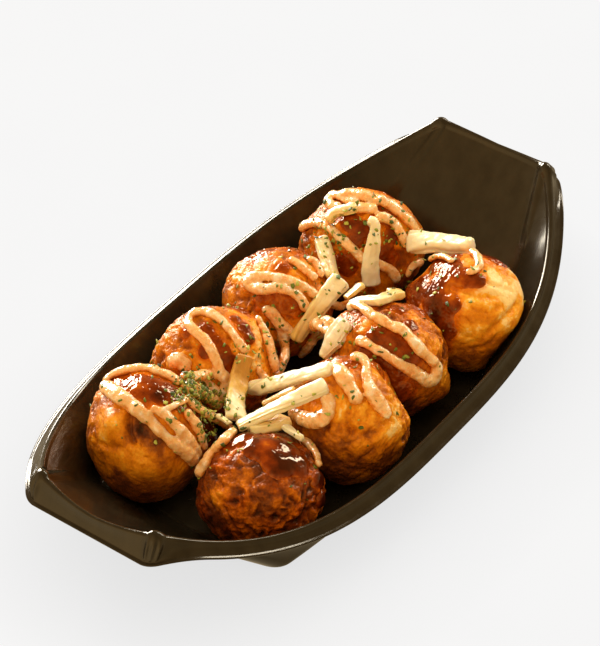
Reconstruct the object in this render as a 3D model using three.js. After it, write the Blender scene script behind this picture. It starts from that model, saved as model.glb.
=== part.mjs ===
// Eight takoyaki in their boat-shaped tray, topped with strips of cheese.
// Millimetres, +Z up. The origin is the middle of the tray's underside, X runs along the tray.
import * as THREE from 'three';
import { mergeVertices } from 'three/addons/utils/BufferGeometryUtils.js';

// ---------------------------------------------------------------- driving dimensions

const SHEET = 0.8; // thickness of the tray's formed sheet
const GAP = 0.3; // clearance left between balls that touch, and between them and the floor

// Each outline below runs along a long side as y = endHalf + (midHalf - endHalf)(1 - |u|^bow),
// with u = x / halfLength, and closes over the end with a bulge.
const BASE = { halfLength: 65.0, endHalf: 36.0, midHalf: 41.5, bow: 2, bulge: 3.2, round: 5 };
const CREST = { halfLength: 109.2, endHalf: 22.2, midHalf: 53.0, bow: 3.17, bulge: 2.9, round: 2.6 };
const LIP = { halfLength: 115.2, endHalf: 23.6, midHalf: 57.4, bow: 3.0, bulge: 0, round: 3.2 };

// Heights of the rim's crest and of the skirt's lip, which both rise towards the four corners.
const CREST_Z = { middle: 24.9, corner: 44.7, rise: 3.39, end: 42.6, endRise: 1.32 };
const LIP_Z = { middle: 21.1, corner: 43.4, rise: 3.17, flareDrop: 6.4, flareFrom: 0.86 };

const FLOOR_FILLET = 3; // reach of the curve between floor and wall
const CHAMFER = { inward: 1.5, down: 1.9 }; // sloped band just inside the crest
const CREST_ROLL = { width: 0.75, drop: 0.4 }; // half-width and fall of the rounded crest
const LIP_TURN = 1.1; // flat turn-out along the skirt's edge
const LIP_LEVEL = 0.15; // rise across that turn-out

// Each corner carries a nub on its crest, with a rib below it down the skirt. `width` is the
// share of the corner that it covers, `edge` how sharply it ends, and `spread` how much of the
// nub's rise and of the rib's reach the sheet beside them takes.
const HORN = { height: 1.7, rib: 1.0, width: 0.3, edge: 4, spread: 0.5 };

const HALF_SIDE = 12; // steps along half a long side
const HALF_END = 3; // steps along half an end
const CORNER_STEPS = 6; // steps round a corner
const FILLET_STEPS = 3; // steps up the curve between floor and wall

// Balls: the middle's x and y, how far the ball is lifted off the floor by the walls, and three
// radii. The first two radii lie level, turned by BALL_TURN from X and Y, the third is upright.
const BALL_TURN = THREE.MathUtils.degToRad(-54);
const BALLS = [
  { at: [-59.5, 21.5], lift: 0.0, radii: [19.1, 20.8, 22.2] },
  { at: [-18.8, 25.3], lift: 0.0, radii: [21.2, 18.8, 20.5] },
  { at: [20.1, 27.2], lift: 0.0, radii: [18.8, 18.0, 19.2] },
  { at: [58.6, 20.0], lift: 0.5, radii: [21.8, 19.5, 21.0] },
  { at: [-55.0, -21.7], lift: 0.0, radii: [20.0, 18.2, 18.2] },
  { at: [-16.0, -26.9], lift: 0.0, radii: [19.2, 18.8, 22.0] },
  { at: [16.6, -21.3], lift: 0.0, radii: [19.2, 18.0, 20.6] },
  { at: [52.1, -28.0], lift: 0.0, radii: [20.0, 19.4, 20.4] },
];
const BALL_DETAIL = 4; // subdivisions of the icosahedron that each ball starts from
const MERGE_DISTANCE = 1e-5; // corners of that icosahedron closer than this are one
const WALL_GAP = 0.7; // clearance to the tray's walls, which bow between a ball's corners
const LEAST_SLANT = 0.4; // where a ball grazes a wall, its gap is measured no flatter than this

// Shallow swellings and dents: how many a ball has, the deepest one's share of the radius, how
// tightly they are drawn in, their turn from ball to ball, and the steps between their depths.
const LUMPS = { count: 9, depth: 0.035, tightness: 3.5, turn: 1.7, depthStep: 2.4, ballStep: 1.3 };

// Cheese strips: width, thickness and the points that the middle of each one passes through.
const STRIPS = [
  { width: 4.6, thick: 3.4, through: [[40.1, 24.1, 35.9], [35.2, 18.1, 33.2], [29.9, 11.9, 31.3]] },
  {
    width: 5.4,
    thick: 3.0,
    through: [
      [51.6, 11.6, 42.7], [51.9, 9.3, 42.0], [48.3, 7.3, 38.2], [43.9, 6.2, 32.0], [41.3, 4.8, 24.7],
    ],
  },
  { width: 5.8, thick: 3.0, through: [[58.3, 0.0, 33.9], [61.2, -10.2, 36.6], [63.3, -21.2, 39.6]] },
  { width: 5.0, thick: 4.0, through: [[28.4, 8.2, 33.7], [15.3, 8.5, 29.9], [6.0, 10.6, 21.6]] },
  {
    width: 3.5,
    thick: 2.5,
    through: [
      [16.5, -4.4, 36.7], [18.7, -8.5, 39.9], [19.4, -14.7, 42.9], [24.7, -15.4, 41.9],
      [28.4, -17.7, 39.6],
    ],
  },
  { width: 5.0, thick: 3.2, through: [[8.2, -9.9, 39.0], [3.5, -8.1, 34.4], [-0.7, -6.4, 28.6]] },
  { width: 5.2, thick: 3.2, through: [[-26.3, 3.4, 28.0], [-22.9, -8.8, 36.4], [-19.2, -21.8, 47.0]] },
  { width: 4.6, thick: 3.4, through: [[-48.7, -7.7, 34.8], [-36.6, -16.0, 39.8], [-25.2, -24.5, 44.9]] },
  {
    width: 6.2,
    thick: 2.8,
    through: [[-22.6, 9.1, 36.3], [-28.8, 7.3, 31.3], [-37.0, 2.5, 29.3], [-43.9, -3.0, 30.2]],
  },
  { width: 3.4, thick: 2.5, through: [[-40.7, -19.8, 35.1], [-42.3, -27.2, 35.7]] },
  { width: 4.8, thick: 2.0, through: [[-45.4, -14.3, 34.3], [-37.2, -16.5, 33.1]] },
  { width: 3.4, thick: 2.0, through: [[-38.0, -2.0, 30.0], [-28.0, -13.5, 37.5]] },
  { width: 3.8, thick: 3.0, through: [[43.8, 24.5, 39.9], [47.3, 24.5, 42.4], [51.7, 18.2, 44.7]] },
];
const STRIP_SIDES = 8; // points round a strip's section
const STRIP_STEP = 4.5; // length between sections
const LEAST_STEPS = 2; // sections in the shortest strip, counted between its ends
const STRIP_SQUARENESS = 0.6; // 1 is an ellipse, towards 0 is a box
const NEAREST_POWER = 5; // how strongly the nearest ball sets the way a strip faces

// ---------------------------------------------------------------- materials

const trayPlastic = new THREE.MeshStandardMaterial({ color: 0x2a2115, roughness: 0.16, metalness: 0 });
const crust = new THREE.MeshStandardMaterial({ color: 0xb8691e, roughness: 0.5, metalness: 0 });
const cheese = new THREE.MeshStandardMaterial({ color: 0xf2d894, roughness: 0.45, metalness: 0 });

// ---------------------------------------------------------------- helpers

const power = (value, exponent) => Math.abs(value) ** exponent;
const UP = new THREE.Vector3(0, 0, 1);

/** A closed solid from rings of points of one length, with a middle point to close each end. */
function solidFromRings(rings, firstMiddle, lastMiddle) {
  const around = rings[0].length;
  const points = rings.flat();
  const first = points.push(firstMiddle) - 1;
  const last = points.push(lastMiddle) - 1;
  const lastRing = (rings.length - 1) * around;
  const index = [];
  for (let i = 0; i < around; i += 1) {
    const next = (i + 1) % around;
    index.push(first, i, next);
    index.push(last, lastRing + next, lastRing + i);
    for (let row = 0; row < lastRing; row += around) {
      index.push(row + i, row + around + next, row + next);
      index.push(row + i, row + around + i, row + around + next);
    }
  }
  const geometry = new THREE.BufferGeometry();
  const numbers = points.flatMap((point) => point.toArray());
  geometry.setAttribute('position', new THREE.Float32BufferAttribute(numbers, 3));
  geometry.setIndex(index);
  geometry.computeVertexNormals();
  return geometry;
}

function namedMesh(name, geometry, material) {
  const mesh = new THREE.Mesh(geometry, material);
  mesh.name = name;
  return mesh;
}

// ---------------------------------------------------------------- tray outlines

/** Crest height at `at`, which runs from -1 to 1 over an end or along a long side. */
function crestHeight(onEnd, at) {
  const lowest = onEnd ? CREST_Z.end : CREST_Z.middle;
  return lowest + (CREST_Z.corner - lowest) * power(at, onEnd ? CREST_Z.endRise : CREST_Z.rise);
}

/** Lip height. It drops a little towards the corners, where the skirt flares. */
function lipHeight(onEnd, at) {
  const u = onEnd ? 1 : Math.abs(at);
  const flare = Math.max(0, (u - LIP_Z.flareFrom) / (1 - LIP_Z.flareFrom)) ** 2;
  return LIP_Z.middle + (LIP_Z.corner - LIP_Z.middle) * power(u, LIP_Z.rise) - LIP_Z.flareDrop * flare;
}

const floorHeight = () => SHEET;

function outlinePoint(outline, height, onEnd, at) {
  if (onEnd) {
    const x = outline.halfLength + outline.bulge * (1 - at * at);
    return new THREE.Vector3(x, outline.endHalf * at, height(onEnd, at));
  }
  const y = outline.endHalf + (outline.midHalf - outline.endHalf) * (1 - power(at, outline.bow));
  return new THREE.Vector3(outline.halfLength * at, y, height(onEnd, at));
}

/** A quarter of an outline, from the middle of an end round the corner to the middle of a side. */
function quarterOutline(outline, height) {
  const endCut = 1 - outline.round / outline.endHalf;
  const sideCut = 1 - outline.round / outline.halfLength;
  const corner = new THREE.QuadraticBezierCurve3(
    outlinePoint(outline, height, true, endCut),
    outlinePoint(outline, height, true, 1),
    outlinePoint(outline, height, false, sideCut),
  );
  const points = [];
  for (let i = 0; i < HALF_END; i += 1) {
    points.push(outlinePoint(outline, height, true, (endCut * i) / HALF_END));
  }
  points.push(...corner.getPoints(CORNER_STEPS));
  for (let i = HALF_SIDE - 1; i >= 0; i -= 1) {
    points.push(outlinePoint(outline, height, false, (sideCut * i) / HALF_SIDE));
  }
  return points;
}

/** Where each station round the tray comes from: a place in the quarter, and its mirroring. */
function stationsRound() {
  const last = HALF_END + CORNER_STEPS + HALF_SIDE;
  const onwards = Array.from({ length: last }, (_, k) => k);
  const back = onwards.map((k) => last - k);
  return [
    ...onwards.map((k) => ({ k, sx: 1, sy: 1 })),
    ...back.map((k) => ({ k, sx: -1, sy: 1 })),
    ...onwards.map((k) => ({ k, sx: -1, sy: -1 })),
    ...back.map((k) => ({ k, sx: 1, sy: -1 })),
  ];
}

const STATIONS = stationsRound();

/** The four mirrored quarters of an outline, as one ring. */
function wholeOutline(outline, height) {
  const quarter = quarterOutline(outline, height);
  return STATIONS.map(({ k, sx, sy }) => quarter[k].clone().multiply(new THREE.Vector3(sx, sy, 1)));
}

/** From the point before to the point after, round a closed ring. */
function alongRing(ring, i) {
  const before = ring[(i + ring.length - 1) % ring.length];
  const after = ring[(i + 1) % ring.length];
  return after.clone().sub(before);
}

/** Level unit vectors that point into the tray, square to an outline. */
function inwardOf(ring) {
  return ring.map((_, i) => {
    const along = alongRing(ring, i);
    return new THREE.Vector3(-along.y, along.x, 0).normalize();
  });
}

/** How much of a corner's horn each station carries, from 0 to 1. */
function hornShare({ k }) {
  const fromCorner = (k - HALF_END) / CORNER_STEPS - 0.5;
  return Math.exp(-power(fromCorner / HORN.width, HORN.edge));
}

// ---------------------------------------------------------------- tray sheet

/** A point moved level along `inward` and upwards. */
function moved(origin, inward, across, rise) {
  return origin.clone().addScaledVector(inward, across).addScaledVector(UP, rise);
}

/** The upper face of the sheet as rings, from the floor up the wall, over the crest to the lip. */
function upperRings(hornScale) {
  const base = wholeOutline(BASE, floorHeight);
  const crest = wholeOutline(CREST, crestHeight);
  const lip = wholeOutline(LIP, lipHeight);
  const baseIn = inwardOf(base);
  const crestIn = inwardOf(crest);
  const lipIn = inwardOf(lip);
  const profiles = STATIONS.map((station, i) => {
    const horn = hornScale * hornShare(station);
    const rise = HORN.height * horn;
    const bulge = HORN.rib * horn;
    const shoulderRise = HORN.spread * rise - CHAMFER.down;
    const shoulder = moved(crest[i], crestIn[i], CHAMFER.inward, shoulderRise);
    const wallStart = base[i].clone().add(shoulder.clone().sub(base[i]).setLength(FLOOR_FILLET));
    const floorEdge = moved(base[i], baseIn[i], FLOOR_FILLET, 0);
    const fillet = new THREE.QuadraticBezierCurve3(floorEdge, base[i], wallStart);
    const skirtTop = moved(crest[i], crestIn[i], -CREST_ROLL.width, rise - CREST_ROLL.drop);
    const skirtFoot = moved(lip[i], lipIn[i], LIP_TURN, LIP_LEVEL);
    const skirtMiddle = skirtTop.clone().lerp(skirtFoot, 0.5);
    return [
      ...fillet.getPoints(FILLET_STEPS),
      wallStart.clone().lerp(shoulder, 0.5),
      shoulder,
      moved(crest[i], crestIn[i], CREST_ROLL.width, rise - CREST_ROLL.drop),
      moved(crest[i], crestIn[i], 0, rise),
      skirtTop,
      moved(skirtMiddle, crestIn[i], -bulge, HORN.spread * bulge),
      skirtFoot,
      lip[i],
    ];
  });
  return profiles[0].map((_, row) => profiles.map((profile) => profile[row]));
}

/** The way the sheet's upper face looks at one point of its rings. */
function facing(rings, row, i) {
  const before = rings[Math.max(row - 1, 0)][i];
  const after = rings[Math.min(row + 1, rings.length - 1)][i];
  return after.clone().sub(before).cross(alongRing(rings[row], i)).normalize();
}

/** The lower face: the upper one moved through the sheet's thickness, flat under the floor. */
function lowerRings(rings) {
  const flat = rings[0].map((point) => new THREE.Vector3(point.x, point.y, 0));
  const lowered = rings.slice(1).map((ring, row) => (
    ring.map((point, i) => point.clone().addScaledVector(facing(rings, row + 1, i), -SHEET))
  ));
  return [flat, ...lowered];
}

function trayGeometry() {
  const rings = [...upperRings(1), ...lowerRings(upperRings(0)).reverse()];
  return solidFromRings(rings, new THREE.Vector3(0, 0, SHEET), new THREE.Vector3(0, 0, 0));
}

// ---------------------------------------------------------------- balls

function ballMiddle(ball) {
  return new THREE.Vector3(ball.at[0], ball.at[1], SHEET + GAP + ball.radii[2] + ball.lift);
}

/** Distance from a ball's middle to its plain ellipsoid, along a unit direction. */
function ellipsoidReach(ball, direction) {
  const own = direction.clone().applyAxisAngle(UP, -BALL_TURN);
  return 1 / Math.hypot(own.x / ball.radii[0], own.y / ball.radii[1], own.z / ball.radii[2]);
}

/** Share by which a ball swells or dips, from lumps spread over it in a golden spiral. */
function swelling(direction, seed) {
  const goldenAngle = Math.PI * (3 - Math.sqrt(5));
  let sum = 0;
  for (let i = 0; i < LUMPS.count; i += 1) {
    const z = 1 - (2 * (i + 0.5)) / LUMPS.count;
    const lump = new THREE.Vector3(Math.sqrt(1 - z * z), 0, z);
    lump.applyAxisAngle(UP, goldenAngle * (i + LUMPS.turn * seed));
    const depth = LUMPS.depth * Math.sin(LUMPS.depthStep * i + LUMPS.ballStep * seed);
    sum += depth * Math.exp(LUMPS.tightness * (direction.dot(lump) - 1));
  }
  return sum;
}

/** Planes that a ball stays inside: one where it meets each of its neighbours. */
function contactsOf(ball) {
  const middle = ballMiddle(ball);
  return BALLS.filter((other) => other !== ball).map((other) => {
    const towards = ballMiddle(other).sub(middle);
    const distance = towards.length();
    const normal = towards.normalize();
    const own = ellipsoidReach(ball, normal);
    const share = own / (own + ellipsoidReach(other, normal));
    return { normal, reach: distance * share - GAP / 2 };
  });
}

/** How far a ball can reach along a direction before the gap that it keeps to the tray. */
function roomInTray(tray, middle, direction) {
  const [hit] = new THREE.Raycaster(middle, direction).intersectObject(tray);
  if (!hit) {
    return Infinity;
  }
  const slant = Math.abs(direction.dot(hit.face.normal));
  return hit.distance - WALL_GAP / Math.max(slant, LEAST_SLANT);
}

/** A ball round its own middle, cut short where it meets the tray or another ball. */
function ballGeometry(ball, seed, tray) {
  const rough = new THREE.IcosahedronGeometry(1, BALL_DETAIL);
  rough.deleteAttribute('normal');
  rough.deleteAttribute('uv');
  const geometry = mergeVertices(rough, MERGE_DISTANCE);
  const middle = ballMiddle(ball);
  const contacts = contactsOf(ball);
  const position = geometry.attributes.position;
  const direction = new THREE.Vector3();
  for (let i = 0; i < position.count; i += 1) {
    direction.fromBufferAttribute(position, i).normalize();
    let reach = ellipsoidReach(ball, direction) * (1 + swelling(direction, seed));
    reach = Math.min(reach, roomInTray(tray, middle, direction));
    for (const contact of contacts) {
      const share = direction.dot(contact.normal);
      if (reach * share > contact.reach) {
        reach = contact.reach / share;
      }
    }
    direction.multiplyScalar(reach);
    position.setXYZ(i, direction.x, direction.y, direction.z);
  }
  geometry.computeVertexNormals();
  return geometry;
}

// ---------------------------------------------------------------- cheese strips

/** The way a strip's flat side faces: away from the balls, the nearest ones counting most. */
function awayFromBalls(point) {
  const away = new THREE.Vector3();
  for (const ball of BALLS) {
    const from = point.clone().sub(ballMiddle(ball));
    away.addScaledVector(from, from.length() ** -NEAREST_POWER);
  }
  return away.normalize();
}

/** One quarter-turn's share of a rounded box, for the cosine or sine of an angle. */
function rounded(value) {
  return Math.sign(value) * power(value, STRIP_SQUARENESS);
}

/** A strip of rounded-box section along a smooth path, its flat side facing away from the balls. */
function stripGeometry(strip) {
  const points = strip.through.map((point) => new THREE.Vector3(...point));
  const path = new THREE.CatmullRomCurve3(points, false, 'centripetal');
  const steps = Math.max(LEAST_STEPS, Math.round(path.getLength() / STRIP_STEP));
  const rings = [];
  for (let step = 0; step <= steps; step += 1) {
    const along = step / steps;
    const middle = path.getPointAt(along);
    const tangent = path.getTangentAt(along);
    const side = tangent.clone().cross(awayFromBalls(middle)).normalize();
    const face = side.clone().cross(tangent).normalize();
    const ring = [];
    for (let i = 0; i < STRIP_SIDES; i += 1) {
      const angle = (2 * Math.PI * (i + 0.5)) / STRIP_SIDES;
      const across = rounded(Math.cos(angle)) * 0.5 * strip.width;
      const outward = rounded(Math.sin(angle)) * 0.5 * strip.thick;
      ring.push(middle.clone().addScaledVector(side, across).addScaledVector(face, outward));
    }
    rings.push(ring);
  }
  return solidFromRings(rings, path.getPointAt(0), path.getPointAt(1));
}

// ---------------------------------------------------------------- assembly

const takoyaki = new THREE.Group();
const tray = namedMesh('tray', trayGeometry(), trayPlastic);
takoyaki.add(tray);
BALLS.forEach((ball, i) => {
  const mesh = namedMesh(`ball_${i + 1}`, ballGeometry(ball, i + 1, tray), crust);
  mesh.position.copy(ballMiddle(ball));
  takoyaki.add(mesh);
});
STRIPS.forEach((strip, i) => {
  takoyaki.add(namedMesh(`cheese_${i + 1}`, stripGeometry(strip), cheese));
});

export default takoyaki;
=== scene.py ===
import itertools
import math

import bpy
import numpy as np
from mathutils import Matrix, Vector
from mathutils.bvhtree import BVHTree


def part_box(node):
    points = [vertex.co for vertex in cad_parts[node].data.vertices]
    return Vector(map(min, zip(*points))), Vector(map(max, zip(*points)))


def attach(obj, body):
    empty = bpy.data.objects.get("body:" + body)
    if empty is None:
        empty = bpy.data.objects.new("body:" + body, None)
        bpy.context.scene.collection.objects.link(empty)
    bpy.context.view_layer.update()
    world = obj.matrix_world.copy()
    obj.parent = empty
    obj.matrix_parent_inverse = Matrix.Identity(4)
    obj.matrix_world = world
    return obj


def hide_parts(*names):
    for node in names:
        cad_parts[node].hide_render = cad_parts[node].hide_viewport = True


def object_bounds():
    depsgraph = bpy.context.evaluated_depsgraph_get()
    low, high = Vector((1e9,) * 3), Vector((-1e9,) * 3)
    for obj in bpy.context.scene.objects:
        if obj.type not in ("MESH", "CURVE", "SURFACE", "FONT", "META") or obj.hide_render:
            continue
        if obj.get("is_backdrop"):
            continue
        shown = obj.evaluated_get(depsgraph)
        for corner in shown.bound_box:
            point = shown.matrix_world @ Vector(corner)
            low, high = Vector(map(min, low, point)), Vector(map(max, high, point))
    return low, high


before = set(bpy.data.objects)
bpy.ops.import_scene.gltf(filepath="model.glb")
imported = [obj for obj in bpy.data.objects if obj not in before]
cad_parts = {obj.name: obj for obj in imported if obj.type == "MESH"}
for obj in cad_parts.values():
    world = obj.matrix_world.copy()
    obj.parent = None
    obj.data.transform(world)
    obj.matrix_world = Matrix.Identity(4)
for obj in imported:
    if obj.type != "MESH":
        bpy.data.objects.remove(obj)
CAD_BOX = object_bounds()

# Lengths below are in millimetres. Meshes are turned into metres as they are made.
MM = 0.001
UP = np.array([0.0, 0.0, 1.0])

# ================================================================ camera

# A scratch program fitted the camera and the tray's crest and lip to the outline in the photo.
# Most of their values, here and under "tray", come from that fit, scaled and rounded.
IMAGE = (600, 646)  # the picture's width and height in pixels
FOCAL_PX = 2746.2  # focal length in those pixels
SENSOR = 36.0
AZIMUTH = math.radians(-54.281)
ELEVATION = math.radians(41.802)
ROLL = math.radians(0.423)
DISTANCE = 921.9
TARGET = np.array([14.34, 14.24, 21.31])


def unit(vector):
    return vector / np.linalg.norm(vector, axis=-1, keepdims=True)


def camera_axes():
    """The camera's right, up and backward directions."""
    level = math.cos(ELEVATION)
    back = np.array([math.sin(AZIMUTH) * level, -math.cos(AZIMUTH) * level, math.sin(ELEVATION)])
    right = unit(np.cross(-back, UP))
    above = np.cross(right, -back)
    turned = right * math.cos(ROLL) + above * math.sin(ROLL)
    return turned, above * math.cos(ROLL) - right * math.sin(ROLL), back


RIGHT, ABOVE, BACK = camera_axes()
EYE = TARGET + BACK * DISTANCE


def sight(x, y):
    """The unit direction in which the camera sees a pixel."""
    across = RIGHT * (x - IMAGE[0] / 2) / FOCAL_PX
    return unit(-BACK + across - ABOVE * (y - IMAGE[1] / 2) / FOCAL_PX)


def add_object(name, data):
    made = bpy.data.objects.new(name, data)
    bpy.context.scene.collection.objects.link(made)
    return made


def make_camera():
    camera = add_object("camera", bpy.data.cameras.new("camera"))
    rows = Matrix([RIGHT, ABOVE, BACK]).transposed().to_4x4()
    camera.matrix_world = Matrix.Translation(Vector(EYE * MM)) @ rows
    camera.data.sensor_width = SENSOR
    camera.data.lens = FOCAL_PX / max(IMAGE) * SENSOR
    camera.data.clip_start = 0.05
    camera.data.clip_end = 20
    bpy.context.scene.camera = camera


# ================================================================ noise and curves


CELL_PRIMES = (374761393, 668265263, 1440662683)  # large odd numbers that scatter a cell's x, y and z
SEED_PRIME = 1013904223
STIR_PRIMES = ((13, 1274126177), (16, 668265263))  # each with the shift that goes before it
WORD, HALF_WORD = 0xFFFFFFFF, 0xFFFF


def hashed(cell, seed):
    """A repeatable number from 0 to 1 for each whole-numbered cell."""
    stirred = sum(cell[:, k] * prime for k, prime in enumerate(CELL_PRIMES))
    stirred = (stirred + seed * SEED_PRIME) & WORD
    for shift, prime in STIR_PRIMES:
        stirred = ((stirred ^ (stirred >> shift)) * prime) & WORD
    return ((stirred >> 8) & HALF_WORD) / HALF_WORD


# Turns the noise's grid off the row's axes.
TWIST = np.array(Matrix.Rotation(0.9, 3, "X") @ Matrix.Rotation(0.7, 3, "Z"))
SEED_OFFSET = 7.31  # how far apart the grids of two seeds lie, in cells
RIDGE_SHARPNESS, BILLOW_SHARPNESS = 1.6, 3.2
CURVE_STEPS = 40  # steps between two of a curve's points, before they are spaced evenly


def noise(points, size, seed):
    """Smooth noise from -1 to 1 whose features are about `size` across."""
    places = points @ TWIST / size + seed * SEED_OFFSET
    cell = np.floor(places).astype(np.int64)
    part = places - cell
    part = part * part * part * (part * (part * 6 - 15) + 10)
    total = np.zeros(len(points))
    for corner in itertools.product((0, 1), repeat=3):
        share = np.where(np.array(corner) == 1, part, 1 - part).prod(axis=1)
        total += share * hashed(cell + np.array(corner), seed)
    return 2 * total - 1


def ridges(points, size, seed):
    """Noise up to 1 with sharp ridges along its zero lines."""
    return 1 - np.abs(noise(points, size, seed)) * RIDGE_SHARPNESS


def billows(points, size, seed):
    """Noise from 0 to 1 with round lumps between sharp creases."""
    return 1 - np.exp(-BILLOW_SHARPNESS * np.abs(noise(points, size, seed)))


def smooth_step(low, high, value):
    share = np.clip((value - low) / (high - low), 0, 1)
    return share * share * (3 - 2 * share)


def curve_through(points, step):
    """Points `step` apart along a centripetal Catmull-Rom curve through the given points."""
    knots = np.array(points, float)
    knots = np.vstack([2 * knots[0] - knots[1], knots, 2 * knots[-1] - knots[-2]])
    fine = []
    for a, b, c, d in zip(knots[:-3], knots[1:-2], knots[2:-1], knots[3:]):
        gaps = [max(np.linalg.norm(q - p), 1e-6) ** 0.5 for p, q in ((a, b), (b, c), (c, d))]
        slope_b = ((b - a) / gaps[0] - (c - a) / (gaps[0] + gaps[1]) + (c - b) / gaps[1]) * gaps[1]
        slope_c = ((c - b) / gaps[1] - (d - b) / (gaps[1] + gaps[2]) + (d - c) / gaps[2]) * gaps[1]
        t = np.linspace(0, 1, CURVE_STEPS, endpoint=False)[:, None]
        fine.append(
            (2 * t**3 - 3 * t**2 + 1) * b
            + (t**3 - 2 * t**2 + t) * slope_b
            + (3 * t**2 - 2 * t**3) * c
            + (t**3 - t**2) * slope_c
        )
    fine = np.vstack([*fine, knots[-2][None]])
    along = np.concatenate([[0], np.cumsum(np.linalg.norm(np.diff(fine, axis=0), axis=1))])
    places = np.linspace(0, along[-1], max(3, int(round(along[-1] / step)) + 1))
    return np.stack([np.interp(places, along, fine[:, k]) for k in range(fine.shape[1])], axis=1)


def gap_to_path(points, path):
    """Each point's distance to the nearest part of a path."""
    nearest = np.full(len(points), np.inf)
    for start, end in zip(path[:-1], path[1:]):
        along = end - start
        share = np.clip((points - start) @ along / max(along @ along, 1e-9), 0, 1)
        nearest = np.minimum(nearest, np.linalg.norm(points - start - share[:, None] * along, axis=1))
    return nearest


# ================================================================ meshes


def fill_mesh(mesh, points, faces):
    """Fills an empty mesh from points in millimetres and faces that all have as many corners."""
    faces = np.asarray(faces, np.int32)
    mesh.vertices.add(len(points))
    mesh.vertices.foreach_set("co", (np.asarray(points) * MM).astype(np.float32).ravel())
    mesh.loops.add(faces.size)
    mesh.loops.foreach_set("vertex_index", faces.ravel())
    mesh.polygons.add(len(faces))
    mesh.polygons.foreach_set("loop_start", np.arange(0, faces.size, faces.shape[1], dtype=np.int32))
    mesh.update(calc_edges=True)
    mesh.validate()
    mesh.polygons.foreach_set("use_smooth", np.ones(len(mesh.polygons), bool))


def make_piece(name, points, faces, material, slot, replaces=None, values=None):
    """A shown piece on the body, with its finish, the node that it stands for and its attributes."""
    mesh = bpy.data.meshes.new(name)
    fill_mesh(mesh, points, faces)
    for key, numbers in (values or {}).items():
        layer = mesh.attributes.new(key, "FLOAT", "POINT")
        layer.data.foreach_set("value", np.asarray(numbers, np.float32))
    mesh.materials.append(material)
    piece = add_object(name, mesh)
    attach(piece, "root")
    if replaces:
        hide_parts(replaces)
    return piece


def triangles_of(faces):
    """Quads as triangles. Triangles stay as they are."""
    if faces.shape[1] == 3:
        return faces
    return np.vstack([faces[:, [0, 1, 2]], faces[:, [0, 2, 3]]])


def joined(parts):
    """Several (points, faces) as one."""
    starts = np.cumsum([0, *[len(points) for points, _ in parts[:-1]]])
    faces = np.vstack([faces + start for (_, faces), start in zip(parts, starts)])
    return np.vstack([points for points, _ in parts]), faces


def tree_of(points, faces):
    return BVHTree.FromPolygons(points.tolist(), faces.tolist())


def normals_of(points, faces):
    """Smooth unit normals at the points."""
    corners = triangles_of(faces)
    a, b, c = (points[corners[:, k]] for k in range(3))
    each = np.cross(b - a, c - a)
    total = np.zeros_like(points)
    for k in range(3):
        np.add.at(total, corners[:, k], each)
    return unit(total)


def rings_mesh(rings):
    """Points and faces of a closed solid from rings of points, its ends closed by a middle point."""
    count, around = rings.shape[:2]
    points = np.vstack([rings.reshape(-1, 3), rings[0].mean(axis=0), rings[-1].mean(axis=0)])
    row, col = np.meshgrid(np.arange(count - 1), np.arange(around), indexing="ij")
    nxt = (col + 1) % around
    here, below = row * around, (row + 1) * around
    quads = np.stack([here + col, below + col, below + nxt, here + nxt], axis=-1).reshape(-1, 4)
    col = np.arange(around)
    nxt = (col + 1) % around
    last = (count - 1) * around
    first_fan = np.stack([np.full(around, count * around), col, nxt], axis=1)
    last_fan = np.stack([np.full(around, count * around + 1), last + nxt, last + col], axis=1)
    return points, np.vstack([triangles_of(quads), first_fan, last_fan])


# ================================================================ materials


def set_inputs(tree, node, inputs):
    """Sets a node's inputs, each to a number, a colour or another node's output."""
    for key, value in inputs.items():
        if isinstance(value, bpy.types.NodeSocket):
            tree.links.new(value, node.inputs[key])
        else:
            node.inputs[key].default_value = value


def add_node(tree, kind, inputs=None, **settings):
    node = tree.nodes.new(kind)
    for key, value in settings.items():
        setattr(node, key, value)
    set_inputs(tree, node, inputs or {})
    return node


def new_material(name):
    """A material with an empty Principled surface, its tree, and its object coordinates."""
    material = bpy.data.materials.new(name)
    material.use_nodes = True
    tree = material.node_tree
    surface = tree.nodes["Principled BSDF"]
    return material, tree, surface, add_node(tree, "ShaderNodeTexCoord").outputs["Object"]


def noise_of(tree, where, size_mm, detail=3.0, roughness=0.55):
    """A noise texture's value, with features about `size_mm` across."""
    inputs = {"Vector": where, "Scale": 1 / (size_mm * MM), "Detail": detail, "Roughness": roughness}
    return add_node(tree, "ShaderNodeTexNoise", inputs).outputs["Fac"]


def cells_of(tree, where, size_mm):
    inputs = {"Vector": where, "Scale": 1 / (size_mm * MM)}
    return add_node(tree, "ShaderNodeTexVoronoi", inputs).outputs["Distance"]


def maths(tree, operation, a, b=0.0, c=0.0):
    node = add_node(tree, "ShaderNodeMath", {0: a, 1: b, 2: c}, operation=operation)
    return node.outputs[0]


def ranged(tree, value, low, high, new_low, new_high):
    inputs = {"Value": value, "From Min": low, "From Max": high, "To Min": new_low, "To Max": new_high}
    return add_node(tree, "ShaderNodeMapRange", inputs).outputs["Result"]


def attribute_of(tree, name):
    return add_node(tree, "ShaderNodeAttribute", attribute_name=name).outputs["Fac"]


def opaque(colour):
    """A colour with its alpha, or the node's output that stands for one."""
    return (*colour, 1) if isinstance(colour, tuple) else colour


def ramp_of(tree, value, stops):
    """Colours at places from 0 to 1, each given as (place, (red, green, blue))."""
    node = add_node(tree, "ShaderNodeValToRGB", {"Fac": value})
    elements = node.color_ramp.elements
    while len(elements) < len(stops):
        elements.new(0.5)
    for element, (place, colour) in zip(elements, stops):
        element.position = place
        element.color = opaque(colour)
    return node.outputs["Color"]


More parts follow.
